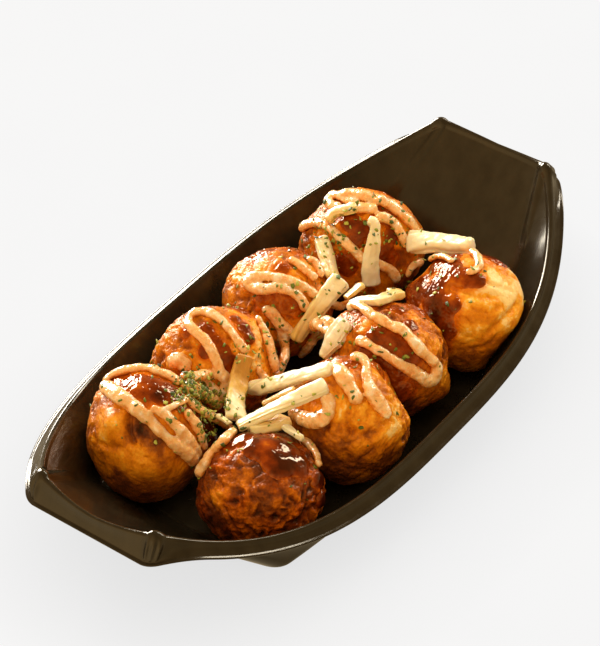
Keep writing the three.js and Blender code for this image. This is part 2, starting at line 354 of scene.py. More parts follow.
def mixed(tree, share, first, second, how="MIX"):
    """Two colours mixed. The node's inputs 6 and 7 and its output 2 are the ones for colours."""
    inputs = {"Factor": share, 6: opaque(first), 7: opaque(second)}
    return add_node(tree, "ShaderNodeMix", inputs, data_type="RGBA", blend_type=how).outputs[2]


def bump_of(tree, height, depth_mm, strength=1.0, under=None):
    inputs = {"Height": height, "Distance": depth_mm * MM, "Strength": strength}
    if under is not None:
        inputs["Normal"] = under
    return add_node(tree, "ShaderNodeBump", inputs).outputs["Normal"]


def crust_material():
    """Fried batter: mottled gold to dark brown by the mesh's browning with painted shade and highlights,
    glossier where it is wet.
    """
    material, tree, surface, where = new_material("crust")
    craggy = attribute_of(tree, "craggy")
    mottle = noise_of(tree, where, 3.2, detail=5, roughness=0.62)
    grain = noise_of(tree, where, 0.9, detail=3)
    # The mesh's brown holds the crust's browning together with painted shade and painted highlights.
    brown = maths(tree, "MULTIPLY_ADD", mottle, 0.75, attribute_of(tree, "brown"))
    brown = maths(tree, "MULTIPLY_ADD", grain, 0.28, brown)
    brown = maths(tree, "SUBTRACT", brown, 0.555)
    colour = ramp_of(tree, brown, [
        (0.00, (0.95, 0.62, 0.20)),
        (0.10, (0.93, 0.40, 0.024)),
        (0.26, (0.80, 0.258, 0.006)),
        (0.43, (0.60, 0.165, 0.003)),
        (0.62, (0.31, 0.073, 0.005)),
        (0.82, (0.135, 0.030, 0.007)),
        (1.00, (0.055, 0.020, 0.008)),
    ])
    wet = attribute_of(tree, "wet")
    colour = mixed(tree, wet, colour, mixed(tree, 0.8, colour, (0.78, 0.38, 0.19), "MULTIPLY"))
    rough = ranged(tree, mottle, 0.3, 0.7, 0.27, 0.45)
    rough = maths(tree, "MULTIPLY_ADD", wet, -0.17, rough)
    rough = maths(tree, "MULTIPLY_ADD", craggy, 0.06, rough)
    pits = cells_of(tree, where, 0.9)
    height = maths(tree, "MULTIPLY_ADD", pits, 0.5, grain)
    relief = bump_of(tree, height, 0.32, ranged(tree, craggy, 0.0, 1.0, 0.5, 1.0))
    set_inputs(tree, surface, {
        "Base Color": colour,
        "Roughness": rough,
        "Normal": relief,
        "Subsurface Weight": 0.08,
        "Subsurface Radius": (1.0, 0.3, 0.05),
        "Subsurface Scale": 0.002,
        "Specular IOR Level": 0.36,
        "Specular Tint": (1.0, 0.66, 0.32, 1),
    })
    return material


def sauce_material():
    """Thick brown sauce: amber where it is thin, nearly black where it is deep."""
    material, tree, surface, where = new_material("sauce")
    cloud = noise_of(tree, where, 2.8, detail=3)
    thick = attribute_of(tree, "depth")
    shade = maths(tree, "ADD", cloud, attribute_of(tree, "shade"))
    colour = ramp_of(tree, maths(tree, "SUBTRACT", shade, 0.5), [
        (0.00, (0.50, 0.105, 0.002)),
        (0.30, (0.29, 0.040, 0.001)),
        (0.60, (0.16, 0.018, 0.0005)),
        (1.00, (0.045, 0.005, 0.0005)),
    ])
    ripples = noise_of(tree, where, 1.9, detail=1)
    set_inputs(tree, surface, {
        "Base Color": colour,
        "Roughness": 0.07,
        "Normal": bump_of(tree, ripples, 0.8, ranged(tree, thick, 0.3, 0.9, 1.0, 0.12)),
        "Specular IOR Level": 0.5,
        "Specular Tint": (1.0, 0.71, 0.38, 1),
    })
    return material


def mayonnaise_material():
    """Peach mayonnaise with painted light and shade: paler on top, more orange in hollows and down its
    sides, with fine red-brown specks.
    """
    material, tree, surface, where = new_material("mayonnaise")
    cloud = noise_of(tree, where, 2.6, detail=3)
    # Painted light and shade: paler on the strands' tops, more orange down their sides and in hollows.
    cloud = maths(tree, "ADD", attribute_of(tree, "painted_light_and_shade"), cloud)
    colour = ramp_of(tree, cloud, [
        (0.22, (0.80, 0.27, 0.035)),
        (0.42, (0.91, 0.44, 0.120)),
        (0.58, (0.90, 0.50, 0.170)),
        (0.80, (0.95, 0.71, 0.41)),
    ])
    specks = ramp_of(tree, cells_of(tree, where, 0.75), [(0.14, (1, 1, 1)), (0.24, (0, 0, 0))])
    chance = ramp_of(tree, noise_of(tree, where, 1.6, detail=1), [(0.5, (0, 0, 0)), (0.62, (1, 1, 1))])
    share = maths(tree, "MULTIPLY", mixed(tree, 1.0, specks, chance, "MULTIPLY"), 0.55)
    colour = mixed(tree, share, colour, (0.62, 0.16, 0.03))
    fine = noise_of(tree, where, 1.3, detail=3)
    set_inputs(tree, surface, {
        "Base Color": colour,
        "Roughness": ranged(tree, fine, 0.3, 0.7, 0.2, 0.36),
        "Normal": bump_of(tree, fine, 0.4, 0.9),
        "Subsurface Weight": 0.2,
        "Subsurface Radius": (1.0, 0.42, 0.18),
        "Subsurface Scale": 0.002,
        "Coat Weight": 0.6,
        "Coat Roughness": 0.08,
    })
    return material


def cheese_material():
    """Pale yellow cheese, a little translucent, drawn out along its length."""
    material, tree, surface, where = new_material("cheese")
    cloud = noise_of(tree, where, 4.0, detail=3)
    # The tint is partly sauce soaked into the cheese and partly painted shade.
    tint = maths(tree, "MULTIPLY_ADD", cloud, 0.5, attribute_of(tree, "tint"))
    tint = maths(tree, "SUBTRACT", tint, 0.25)
    colour = ramp_of(tree, tint, [
        (0.00, (0.93, 0.79, 0.48)),
        (0.35, (0.90, 0.69, 0.31)),
        (0.70, (0.80, 0.48, 0.09)),
        (1.00, (0.55, 0.24, 0.025)),
    ])
    fine = noise_of(tree, where, 1.0, detail=3)
    set_inputs(tree, surface, {
        "Base Color": colour,
        "Roughness": ranged(tree, fine, 0.3, 0.7, 0.32, 0.48),
        "Normal": bump_of(tree, fine, 0.2, 0.6),
        "Subsurface Weight": 0.3,
        "Subsurface Radius": (1.0, 0.62, 0.22),
        "Subsurface Scale": 0.003,
        "Coat Weight": 0.2,
        "Coat Roughness": 0.2,
    })
    return material


def seaweed_material():
    """Dry green flakes, each a little lighter or darker than the next."""
    material, tree, surface, where = new_material("seaweed")
    shade = maths(tree, "MULTIPLY_ADD", noise_of(tree, where, 0.8), 0.3, attribute_of(tree, "shade"))
    colour = ramp_of(tree, shade, [
        (0.10, (0.040, 0.070, 0.004)),
        (0.60, (0.170, 0.215, 0.013)),
        (1.00, (0.50, 0.48, 0.06)),
    ])
    set_inputs(tree, surface, {
        "Base Color": colour,
        "Roughness": 0.6,
        "Normal": bump_of(tree, noise_of(tree, where, 0.4), 0.08),
    })
    return material


def tray_material():
    """Glossy black sheet with a warm olive cast, faint streaks and a few fine scratches."""
    material, tree, surface, where = new_material("tray_plastic")
    stretched = add_node(tree, "ShaderNodeMapping", {"Vector": where, "Scale": (1, 1, 0.15)})
    streaks = noise_of(tree, stretched.outputs["Vector"], 6.0, detail=3)
    colour = ramp_of(tree, streaks, [
        (0.35, (0.018, 0.0125, 0.0058)),
        (0.65, (0.026, 0.0185, 0.0085)),
    ])
    wave = noise_of(tree, where, 14.0, detail=2)
    fine = noise_of(tree, where, 0.7, detail=2)
    relief = bump_of(tree, wave, 0.25, 0.4)
    relief = bump_of(tree, fine, 0.01, 0.5, relief)
    set_inputs(tree, surface, {
        "Base Color": colour,
        "Roughness": ranged(tree, streaks, 0.3, 0.7, 0.12, 0.2),
        "Normal": relief,
        "Specular IOR Level": 0.40,
        "Specular Tint": (1.0, 0.87, 0.62, 1),
    })
    return material


def floor_material():
    """A pale lit table: mostly its own glow, with a painted shadow that makes it a little dimmer close to
    what stands on it.
    """
    material, tree, surface, where = new_material("floor")
    shade = noise_of(tree, where, 60.0, detail=2)
    colour = ramp_of(tree, shade, [(0.3, (0.023, 0.023, 0.024)), (0.7, (0.027, 0.027, 0.028))])
    # Painted shadow: the glow dims where ambient occlusion finds something close.
    openness = add_node(tree, "ShaderNodeAmbientOcclusion", {"Distance": 0.05}, samples=8)
    set_inputs(tree, surface, {
        "Base Color": colour,
        "Roughness": 0.8,
        "Specular IOR Level": 0.0,
        "Emission Color": (1.0, 1.0, 1.0, 1),
        "Emission Strength": ranged(tree, openness.outputs["AO"], 0.1, 1.0, 0.72, 0.888),
    })
    return material


# ================================================================ tray

SHEET = 0.8  # thickness of the floor
WALL_SHEET = 0.55  # thickness of the wall, rim and skirt
BASE = {"length": 65.0, "end": 36.0, "side": 41.5, "bow": 2.0, "bulge": 3.2, "round": 5.0}
CREST = {"length": 109.2, "end": 22.2, "side": 53.0, "bow": 3.17, "bulge": 2.9, "round": 2.6}
LIP = {"length": 115.2, "end": 23.6, "side": 57.4, "bow": 3.0, "bulge": 0.0, "round": 3.2}
CREST_Z = {"middle": 24.9, "corner": 44.7, "rise": 3.39, "end": 42.6, "end_rise": 1.32}
LIP_Z = {"middle": 21.1, "corner": 43.4, "rise": 3.17, "flare_drop": 6.4, "flare_from": 0.86}
FLOOR_FILLET = 3.0
CHAMFER_IN, CHAMFER_DOWN = 1.5, 1.9
CREST_HALF, CREST_DROP = 0.75, 0.4
LIP_TURN, LIP_LEVEL = 1.1, 0.15
SKIRT_HOLLOW = 0.7  # how far the skirt curves in between the crest and the lip
HORN_HEIGHT, HORN_RIB, HORN_WIDTH, HORN_EDGE, HORN_SPREAD = 2.0, 1.1, 0.52, 2.6, 0.5
HORN_TOP, HORN_DROP = 0.9, 0.6  # a nub's top is broader and rounder than the rim
RIB_GAP, RIB_WIDTH = 0.30, 0.09  # three ribs down each corner nub, in corners
HALF_END, CORNER, HALF_SIDE = 14, 28, 60  # steps over half an end, a corner and half a side


def crest_height(on_end, at):
    low = np.where(on_end, CREST_Z["end"], CREST_Z["middle"])
    rise = np.where(on_end, CREST_Z["end_rise"], CREST_Z["rise"])
    return low + (CREST_Z["corner"] - low) * np.abs(at) ** rise


def lip_height(on_end, at):
    u = np.where(on_end, 1.0, np.abs(at))
    flare = np.clip((u - LIP_Z["flare_from"]) / (1 - LIP_Z["flare_from"]), 0, None) ** 2
    height = LIP_Z["middle"] + (LIP_Z["corner"] - LIP_Z["middle"]) * u ** LIP_Z["rise"]
    return height - LIP_Z["flare_drop"] * flare


def floor_height(on_end, at):
    return np.full(np.shape(at), SHEET)


def outline_points(outline, height, on_end, at):
    at = np.asarray(at, float)
    if on_end:
        x = outline["length"] + outline["bulge"] * (1 - at * at)
        y = outline["end"] * at
    else:
        x = outline["length"] * at
        y = outline["end"] + (outline["side"] - outline["end"]) * (1 - np.abs(at) ** outline["bow"])
    return np.stack([x, y, height(on_end, at)], axis=-1)


def bezier(a, b, c, t):
    return (1 - t) ** 2 * a + 2 * t * (1 - t) * b + t * t * c


def whole_outline(outline, height):
    """An outline as a ring, from the middle of the far end, with its four mirrored quarters."""
    end_cut = 1 - outline["round"] / outline["end"]
    side_cut = 1 - outline["round"] / outline["length"]
    ends = outline_points(outline, height, True, end_cut * np.arange(HALF_END) / HALF_END)
    corner = bezier(
        outline_points(outline, height, True, end_cut),
        outline_points(outline, height, True, 1),
        outline_points(outline, height, False, side_cut),
        np.linspace(0, 1, CORNER + 1)[:, None],
    )
    along_side = side_cut * np.arange(HALF_SIDE - 1, -1, -1) / HALF_SIDE
    sides = outline_points(outline, height, False, along_side)
    quarter = np.vstack([ends, corner, sides])
    back = quarter[:0:-1]
    return np.vstack([
        quarter[:-1],
        back * (-1, 1, 1),
        quarter[:-1] * (-1, -1, 1),
        back * (1, -1, 1),
    ])


def inward_of(ring):
    along = np.roll(ring, -1, axis=0) - np.roll(ring, 1, axis=0)
    return unit(np.stack([-along[:, 1], along[:, 0], np.zeros(len(ring))], axis=1))


def corner_share():
    """How far each station round the tray is from the middle of its corner, in corners."""
    last = HALF_END + CORNER + HALF_SIDE
    onwards = np.arange(last)
    k = np.concatenate([onwards, last - onwards, onwards, last - onwards])
    return (k - HALF_END) / CORNER - 0.5


def rounded_profile(corners, reaches, steps, bend_steps):
    """Rows of points down a profile: straight stretches with each inner corner rounded off."""
    rows = [corners[0]]
    start = corners[0]
    for i in range(1, len(corners) - 1):
        before, here, after = corners[i - 1], corners[i], corners[i + 1]
        into = np.linalg.norm(here - before, axis=1, keepdims=True)
        out = np.linalg.norm(after - here, axis=1, keepdims=True)
        a = here + (before - here) * np.minimum(reaches[i] / into, 0.49)
        c = here + (after - here) * np.minimum(reaches[i] / out, 0.49)
        rows += [start + (a - start) * s for s in np.arange(1, steps[i - 1] + 1) / steps[i - 1]]
        rows += [bezier(a, here, c, t) for t in np.arange(1, bend_steps[i] + 1) / bend_steps[i]]
        start = c
    rows += [start + (corners[-1] - start) * s for s in np.arange(1, steps[-1] + 1) / steps[-1]]
    return np.stack(rows)


def tray_rows():
    """The sheet's upper face, from the floor's edge up the wall and over the rim to the lip."""
    base = whole_outline(BASE, floor_height)
    crest = whole_outline(CREST, crest_height)
    lip = whole_outline(LIP, lip_height)
    horn = np.exp(-np.abs(corner_share() / HORN_WIDTH) ** HORN_EDGE)[:, None]
    crest_in, lip_in = inward_of(crest), inward_of(lip)
    rise = HORN_HEIGHT * horn * UP
    floor_edge = base + inward_of(base) * FLOOR_FILLET
    half = crest_in * (CREST_HALF + HORN_TOP * horn)
    drop = UP * (CREST_DROP + HORN_DROP * horn)
    inwards = crest_in * (CHAMFER_IN + HORN_TOP * horn)
    shoulder = crest + inwards - UP * CHAMFER_DOWN + HORN_SPREAD * rise
    crest_inner = crest + half - drop + rise
    crest_top = crest + rise
    skirt_top = crest - half - drop + rise
    skirt_foot = lip + lip_in * LIP_TURN + UP * LIP_LEVEL
    ribs = sum(np.exp(-(((corner_share() - k * RIB_GAP) / RIB_WIDTH) ** 2)) for k in (-1, 0, 1))
    bulge = HORN_RIB * (0.35 * horn + 0.75 * ribs[:, None])
    skirt_middle = (skirt_top + skirt_foot) / 2 - crest_in * bulge + UP * HORN_SPREAD * bulge
    skirt_middle += crest_in * SKIRT_HOLLOW * (1 - horn)
    corners = [floor_edge, base, shoulder, crest_inner, crest_top]
    corners += [skirt_top, skirt_middle, skirt_foot, lip]
    reaches = [0, FLOOR_FILLET, 0.35, 0.3 + horn, 0.35 + horn, 0.45 + horn, 2.5, 0.3, 0]
    steps = [1, 12, 2, 1, 1, 3, 3, 2]
    bends = [0, 8, 4, 3, 3, 4, 4, 4, 0]
    return rounded_profile(corners, reaches, steps, bends)


def tray_mesh():
    upper = tray_rows()
    count, around = upper.shape[:2]
    along = np.roll(upper, -1, axis=1) - np.roll(upper, 1, axis=1)
    padded = np.concatenate([upper[:1], upper, upper[-1:]])
    down = padded[2:] - padded[:-2]
    facing = unit(np.cross(down, along))
    share = smooth_step(0, 12, np.arange(count))[:, None, None]
    lower = upper - facing * (SHEET + (WALL_SHEET - SHEET) * share)
    lower[0] = upper[0] - UP * SHEET
    lower[..., 2] = np.maximum(lower[..., 2], 0)
    inner = [upper[0] * (s, s, 1) for s in (0.2, 0.4, 0.6, 0.8)]
    under = [lower[0] * (s, s, 1) for s in (0.8, 0.6, 0.4, 0.2)]
    edge = (upper[-1] + lower[-1]) / 2 + (upper[-1] - upper[-2]) * 0.3
    rows = np.concatenate([inner, upper, edge[None], lower[::-1], under])
    points, faces = rings_mesh(rows)
    return points, faces[:, ::-1]


# ================================================================ balls

# Each ball's looks. `tone` is how brown it is, `crag` how craggy and `wrinkle` how wrinkled. `deep`
# is its sauce's depth and `glaze` how much of a thin glaze of sauce it has all over. Places are
# pixels of the photo, and other lengths are millimetres. `dents` are (x, y, radius, depth), a
# negative depth being a swelling. `creases` are (width, depth, pixels along the crease). `spots`
# darken the crust, `crusts` make it craggier and `shades` darken the sauce: (x, y, radius, share),
# and a minus does the opposite. `sauce` holds the places that sauce covers: (x, y, radius).
# The crust's spots are partly its browning, partly painted shade in recesses, creases and under strands
# and painted light on lit edges.
BALLS = {
    "ball_1": {
        "tone": 0.38, "crag": 0.2, "wrinkle": 0.4, "deep": 0.75, "glaze": 0.15,
        "dents": [
            (144, 427, 5.6, 3.2), (160, 441, 5, 1.6), (113, 424, 5, -2.2), (140, 466, 8, -1.8),
            (182, 448, 6, 0.9), (165, 472, 10, -0.8), (212, 436, 7, -2.4)],
        "creases": [
            (1.0, 2.0, [(131, 404), (129, 418), (129, 432), (134, 443)]),
            (1.2, 0.8, [(96, 440), (106, 446), (118, 447)]),
        ],
        "spots": [
            (108, 422, 5, 0.02), (108, 436, 5, -0.06), (136, 462, 6, -0.07), (137, 414, 3.6, 0.4),
            (138, 428, 4.4, 0.5), (150, 434, 4.6, 0.42), (162, 445, 4.6, 0.34), (140, 484, 12, 0.18),
            (180, 460, 8, 0.18), (111, 406, 5, 0.14), (104, 399, 3, 0.14)],
        "crusts": [(94, 405, 7, 0.7), (91, 432, 7, 0.8), (99, 447, 5, 0.5), (146, 450, 5, 0.5)],
        "sauce": [
            (130, 382, 4), (140, 387, 6), (155, 389, 6), (170, 394, 5), (185, 405, 4), (203, 420, 5),
            (207, 436, 5), (196, 412, 4)],
        "shades": [(157, 397, 3.5, 0.6), (204, 428, 8, 0.7), (136, 388, 3.5, -0.3)],
    },
    "ball_2": {
        "tone": 0.38, "crag": 0.6, "wrinkle": 0.3, "deep": 0.7, "glaze": 0.2,
        "dents": [
            (190, 350, 5, 0.8), (262, 352, 6, 0.5), (216, 301, 9, 2.2), (186, 300, 8, 1.4),
            (168, 305, 7, 2.2), (150, 320, 8, 2.6), (143, 342, 7, 1.4)],
        "creases": [(1.6, 0.8, [(250, 312), (262, 330), (268, 352), (270, 370)])],
        "spots": [
            (205, 362, 6, -0.15), (256, 345, 6, -0.3), (258, 365, 6, -0.25), (170, 350, 7, -0.05),
            (190, 345, 6, 0.12)],
        "crusts": [(160, 345, 9, 0.5), (168, 325, 8, 0.3), (182, 342, 6, 0.4)],
        "sauce": [
            (206, 330, 3.2), (213, 340, 3.4), (221, 352, 3.6), (227, 364, 3.6), (236, 318, 2.4),
            (244, 328, 2.8), (250, 338, 2.6), (186, 334, 2.2), (204, 352, 2.4)],
    },
    "ball_3": {
        "tone": 0.36, "crag": 0.45, "wrinkle": 0.4, "deep": 0.35, "glaze": 0.15,
        "dents": [(250, 302, 6, 0.5), (285, 308, 6, 0.4)],
        "creases": [(1.6, 0.5, [(232, 285), (240, 296), (252, 304)])],
        "spots": [(250, 265, 7, -0.12), (266, 308, 8, 0.14), (236, 300, 6, -0.06)],
        "crusts": [(236, 272, 8, 0.5), (250, 255, 8, 0.3)],
        "sauce": [(282, 268, 2.6), (264, 301, 4), (281, 303, 4.6), (296, 309, 3.4)],
    },
    "ball_4": {
        "tone": 0.40, "crag": 0.5, "wrinkle": 0.4, "deep": 0.8, "glaze": 0.3,
        "dents": [
            (320, 250, 6, 0.5), (395, 255, 6, 0.5), (345, 205, 5, 0.4), (374, 184, 9, 1.3),
            (347, 183, 8, 1.5), (395, 191, 8, 2.8), (411, 205, 7, 1.6), (317, 203, 6, 1.6),
            (299, 252, 5, -1.2), (376, 291, 7, -2.2), (346, 286, 6, -1.5)],
        "creases": [(1.5, 0.8, [(340, 200), (356, 206), (374, 204)])],
        "spots": [(312, 245, 6, -0.15), (345, 196, 9, -0.28), (365, 196, 8, -0.22), (400, 250, 8, 0.08)],
        "crusts": [(312, 235, 8, 0.4), (350, 196, 8, 0.5)],
        "sauce": [
            (350, 222, 3.8), (361, 232, 4), (380, 208, 3.4), (388, 217, 3.4), (392, 236, 3.2),
            (345, 264, 4.4), (387, 256, 4.6), (354, 243, 3.2)],
    },
    "ball_5": {
        "tone": 0.63, "crag": 1.0, "wrinkle": 0.3, "deep": 1.5, "glaze": 0.85,
        "dents": [
            (270, 492, 6, -0.9), (232, 500, 6, -0.5), (250, 478, 4, 0.9), (240, 462, 5, -0.9),
            (300, 495, 6, -0.6)],
        "creases": [(1.8, 0.9, [(247, 455), (253, 470), (258, 486)])],
        "spots": [
            (215, 520, 5, -0.1), (240, 470, 6, -0.16), (250, 505, 6, -0.12), (215, 495, 6, -0.1),
            (285, 500, 6, -0.08), (275, 475, 5, 0.05), (306, 500, 10, 0.06)],
        "crusts": [],
        "sauce": [
            (262, 447, 6), (277, 451, 7), (290, 457, 7), (300, 468, 4), (278, 464, 5), (318, 480, 3.5),
            (322, 500, 3), (240, 438, 5), (230, 444, 3.5)],
        "shades": [(266, 448, 3.5, -0.8), (272, 466, 3.5, -0.3), (242, 440, 3, -0.5)],
    },
    "ball_6": {
        "tone": 0.36, "crag": 0.28, "wrinkle": 0.9, "deep": 0.4, "glaze": 0.1,
        "dents": [
            (352, 426, 6, 1.6), (340, 395, 4, 0.7), (388, 438, 6, -0.8), (318, 445, 8, -0.6),
            (352, 462, 10, 0.8), (372, 405, 5, -0.5), (394, 378, 7, 3.2), (378, 364, 6, 1.0),
            (405, 392, 7, 4.0)],
        "creases": [
            (1.5, 1.2, [(346, 388), (350, 405), (347, 420), (354, 432)]),
            (1.6, 1.2, [(352, 430), (364, 436), (378, 430), (390, 418)]),
            (1.3, 0.8, [(335, 385), (338, 402), (334, 420), (322, 432)]),
            (1.3, 0.7, [(352, 434), (346, 448), (350, 464)]),
            (1.0, 0.5, [(358, 412), (362, 424), (370, 428)]),
            (0.9, 0.9, [(327, 394), (330, 410), (326, 428)]),
            (0.9, 0.8, [(341, 402), (342, 416), (337, 432)]),
            (0.8, 0.6, [(352, 396), (356, 408), (355, 420)]),
        ],
        "spots": [
            (338, 410, 6, -0.14), (390, 434, 4, -0.34), (318, 440, 7, 0.12), (374, 424, 4, 0.16),
            (340, 462, 9, 0.22), (310, 465, 8, 0.14), (352, 372, 6, 0.06), (385, 452, 5, -0.1),
            (398, 412, 3, -0.24), (402, 434, 3, -0.26), (394, 428, 3, -0.16), (312, 452, 7, 0.14)],
        "crusts": [
            (404, 415, 6, 0.8), (408, 435, 6, 0.9), (396, 392, 5, 0.7), (403, 455, 6, 0.6),
            (388, 374, 4, 0.5), (345, 356, 4, 0.5)],
        "sauce": [(340, 358, 3.5), (350, 364, 3)],
    },
    "ball_7": {
        "tone": 0.44, "crag": 0.6, "wrinkle": 0.4, "deep": 0.8, "glaze": 0.4,
        "dents": [(450, 392, 7, -2.6), (400, 385, 6, 0.3), (338, 336, 7, -2.6), (346, 312, 6, -2.0)],
        "creases": [(1.5, 0.6, [(425, 300), (434, 318), (442, 338)])],
        "spots": [
            (446, 372, 6, -0.15), (430, 330, 6, -0.1), (432, 390, 8, -0.2), (412, 322, 6, -0.1),
            (404, 396, 6, 0.4), (402, 404, 5, 0.3), (366, 324, 6, -0.16)],
        "crusts": [(440, 350, 8, 0.4), (413, 318, 9, 0.9), (368, 325, 7, 0.6)],
        "sauce": [
            (378, 339, 5), (392, 346, 5.5), (406, 357, 5), (371, 356, 5), (390, 374, 6), (370, 374, 5),
            (398, 309, 3), (411, 325, 3), (402, 392, 4.6), (381, 395, 6)],
    },
    "ball_8": {
        "tone": 0.21, "crag": 0.05, "wrinkle": 0.5, "deep": 0.9, "glaze": 0.05,
        "dents": [
            (480, 318, 8, -1.0), (505, 345, 6, 0.9), (462, 350, 8, 0.5), (498, 276, 6, 0.5),
            (500, 305, 6, -0.7), (516, 347, 9, 3.0), (408, 290, 7, -2.6), (440, 257, 7, -1.6)],
        "creases": [
            (1.5, 1.2, [(488, 332), (502, 320), (516, 306)]),
            (1.4, 0.9, [(455, 290), (468, 293), (482, 298), (496, 296)]),
            (1.3, 0.9, [(488, 262), (500, 270), (516, 278)]),
            (1.2, 0.7, [(470, 350), (486, 346), (498, 336)]),
            (1.0, 0.6, [(474, 308), (486, 312), (500, 306)]),
            (1.0, 0.5, [(484, 282), (498, 286), (512, 292)]),
        ],
        "spots": [
            (500, 290, 8, -0.34), (482, 294, 7, -0.16), (478, 313, 4, 0.30), (488, 318, 3, 0.2),
            (516, 316, 5, 0.16), (512, 280, 4, 0.1), (466, 330, 4, -0.12), (500, 348, 8, 0.3),
            (488, 266, 3, 0.2), (470, 357, 8, 0.3), (504, 318, 4, -0.14), (492, 298, 3, 0.14),
            (520, 296, 4, 0.12)],
        "crusts": [(520, 300, 6, 0.4), (500, 262, 6, 0.3)],
        "sauce": [
            (438, 266, 4), (450, 268, 5), (464, 276, 5), (476, 280, 3.5), (440, 282, 5), (434, 298, 6),
            (438, 316, 6), (444, 332, 4.4), (420, 288, 5), (416, 300, 4), (450, 304, 4), (442, 345, 3.6),
            (407, 291, 4)],
        "shades": [(452, 286, 3.5, -0.5), (436, 314, 5, 0.35), (452, 300, 3, -0.4)],
    },
}
# Patches of sauce on the sides that face away: degrees round from straight away from the camera,
# degrees of height, radius.
FAR_SAUCE = [(-38, 48, 6), (12, 40, 5), (44, 55, 6)]
GRID = 68  # steps over each side of the cube that a ball's points start from
CAD_TIGHTNESS = 60  # how tightly a ball's surface follows its solid's own corners
NEAREST_POWER = 5  # how much the nearest ball counts in the direction away from the balls
SPOT_FALLOFF = 1.5  # how steeply a soft spot fades over its radius
CREASE_STEP = 1.5  # spacing of the points along a crease
SWELL_WIDTH, SWELL_DEPTH = 2.4, 0.35  # of the swelling beside a crease, as shares of the crease's
WARP = 1.7  # how far the crust's lumps are pushed about, so that they don't look regular
LUMP_LEVEL = 0.55  # the level of the lumps' noise that lies on the plain surface
PATCH_BLEND = 4  # how closely the sauce keeps to its patches, where they meet
NO_SAUCE = -9.0  # the sauce's field far from any patch
DEEPENING = 2.2  # how fast the sauce gets deeper from its edge inwards
SAUCE_SINK, SAUCE_DIP = 0.12, 2.5  # how far its edge lies in the crust, and how steeply it dips on
SAUCE_EDGE = -0.35  # how far beyond its patches the layer of sauce goes on, under the crust
SAUCE_UNDER = 0.7  # how far the layer's underside lies below its top or the crust
DARK_DEPTH = 1.3  # the depth at which sauce has its full shade


def sphere_grid():
    """Unit directions spread evenly over a sphere, as a cube's grid, and its quads."""
    angle = np.linspace(-math.pi / 4, math.pi / 4, GRID + 1)
    u, v = np.meshgrid(np.tan(angle), np.tan(angle), indexing="ij")
    one = np.ones_like(u)
    sides = [(one, u, v), (-one, v, u), (v, one, u), (u, -one, v), (u, v, one), (v, u, -one)]
    directions = unit(np.concatenate([np.stack(s, axis=-1).reshape(-1, 3) for s in sides]))
    i, j = np.meshgrid(np.arange(GRID), np.arange(GRID), indexing="ij")
    first = i * (GRID + 1) + j
    quad = np.stack([first, first + GRID + 1, first + GRID + 2, first + 1], axis=-1).reshape(-1, 4)
    faces = np.concatenate([quad + k * (GRID + 1) ** 2 for k in range(6)])
    _, keep, where = np.unique(np.round(directions, 6), axis=0, return_index=True, return_inverse=True)
    return directions[keep], where.reshape(-1)[faces]


DIRECTIONS, QUADS = sphere_grid()
TRIANGLES = triangles_of(QUADS)


def far_direction(turn, rise):
    """The direction `turn` degrees round from straight away from the camera, `rise` degrees up."""
    azimuth = math.atan2(-BACK[1], -BACK[0]) + math.radians(turn)
    level = math.cos(math.radians(rise))
    return np.array([level * math.cos(azimuth), level * math.sin(azimuth), math.sin(math.radians(rise))])


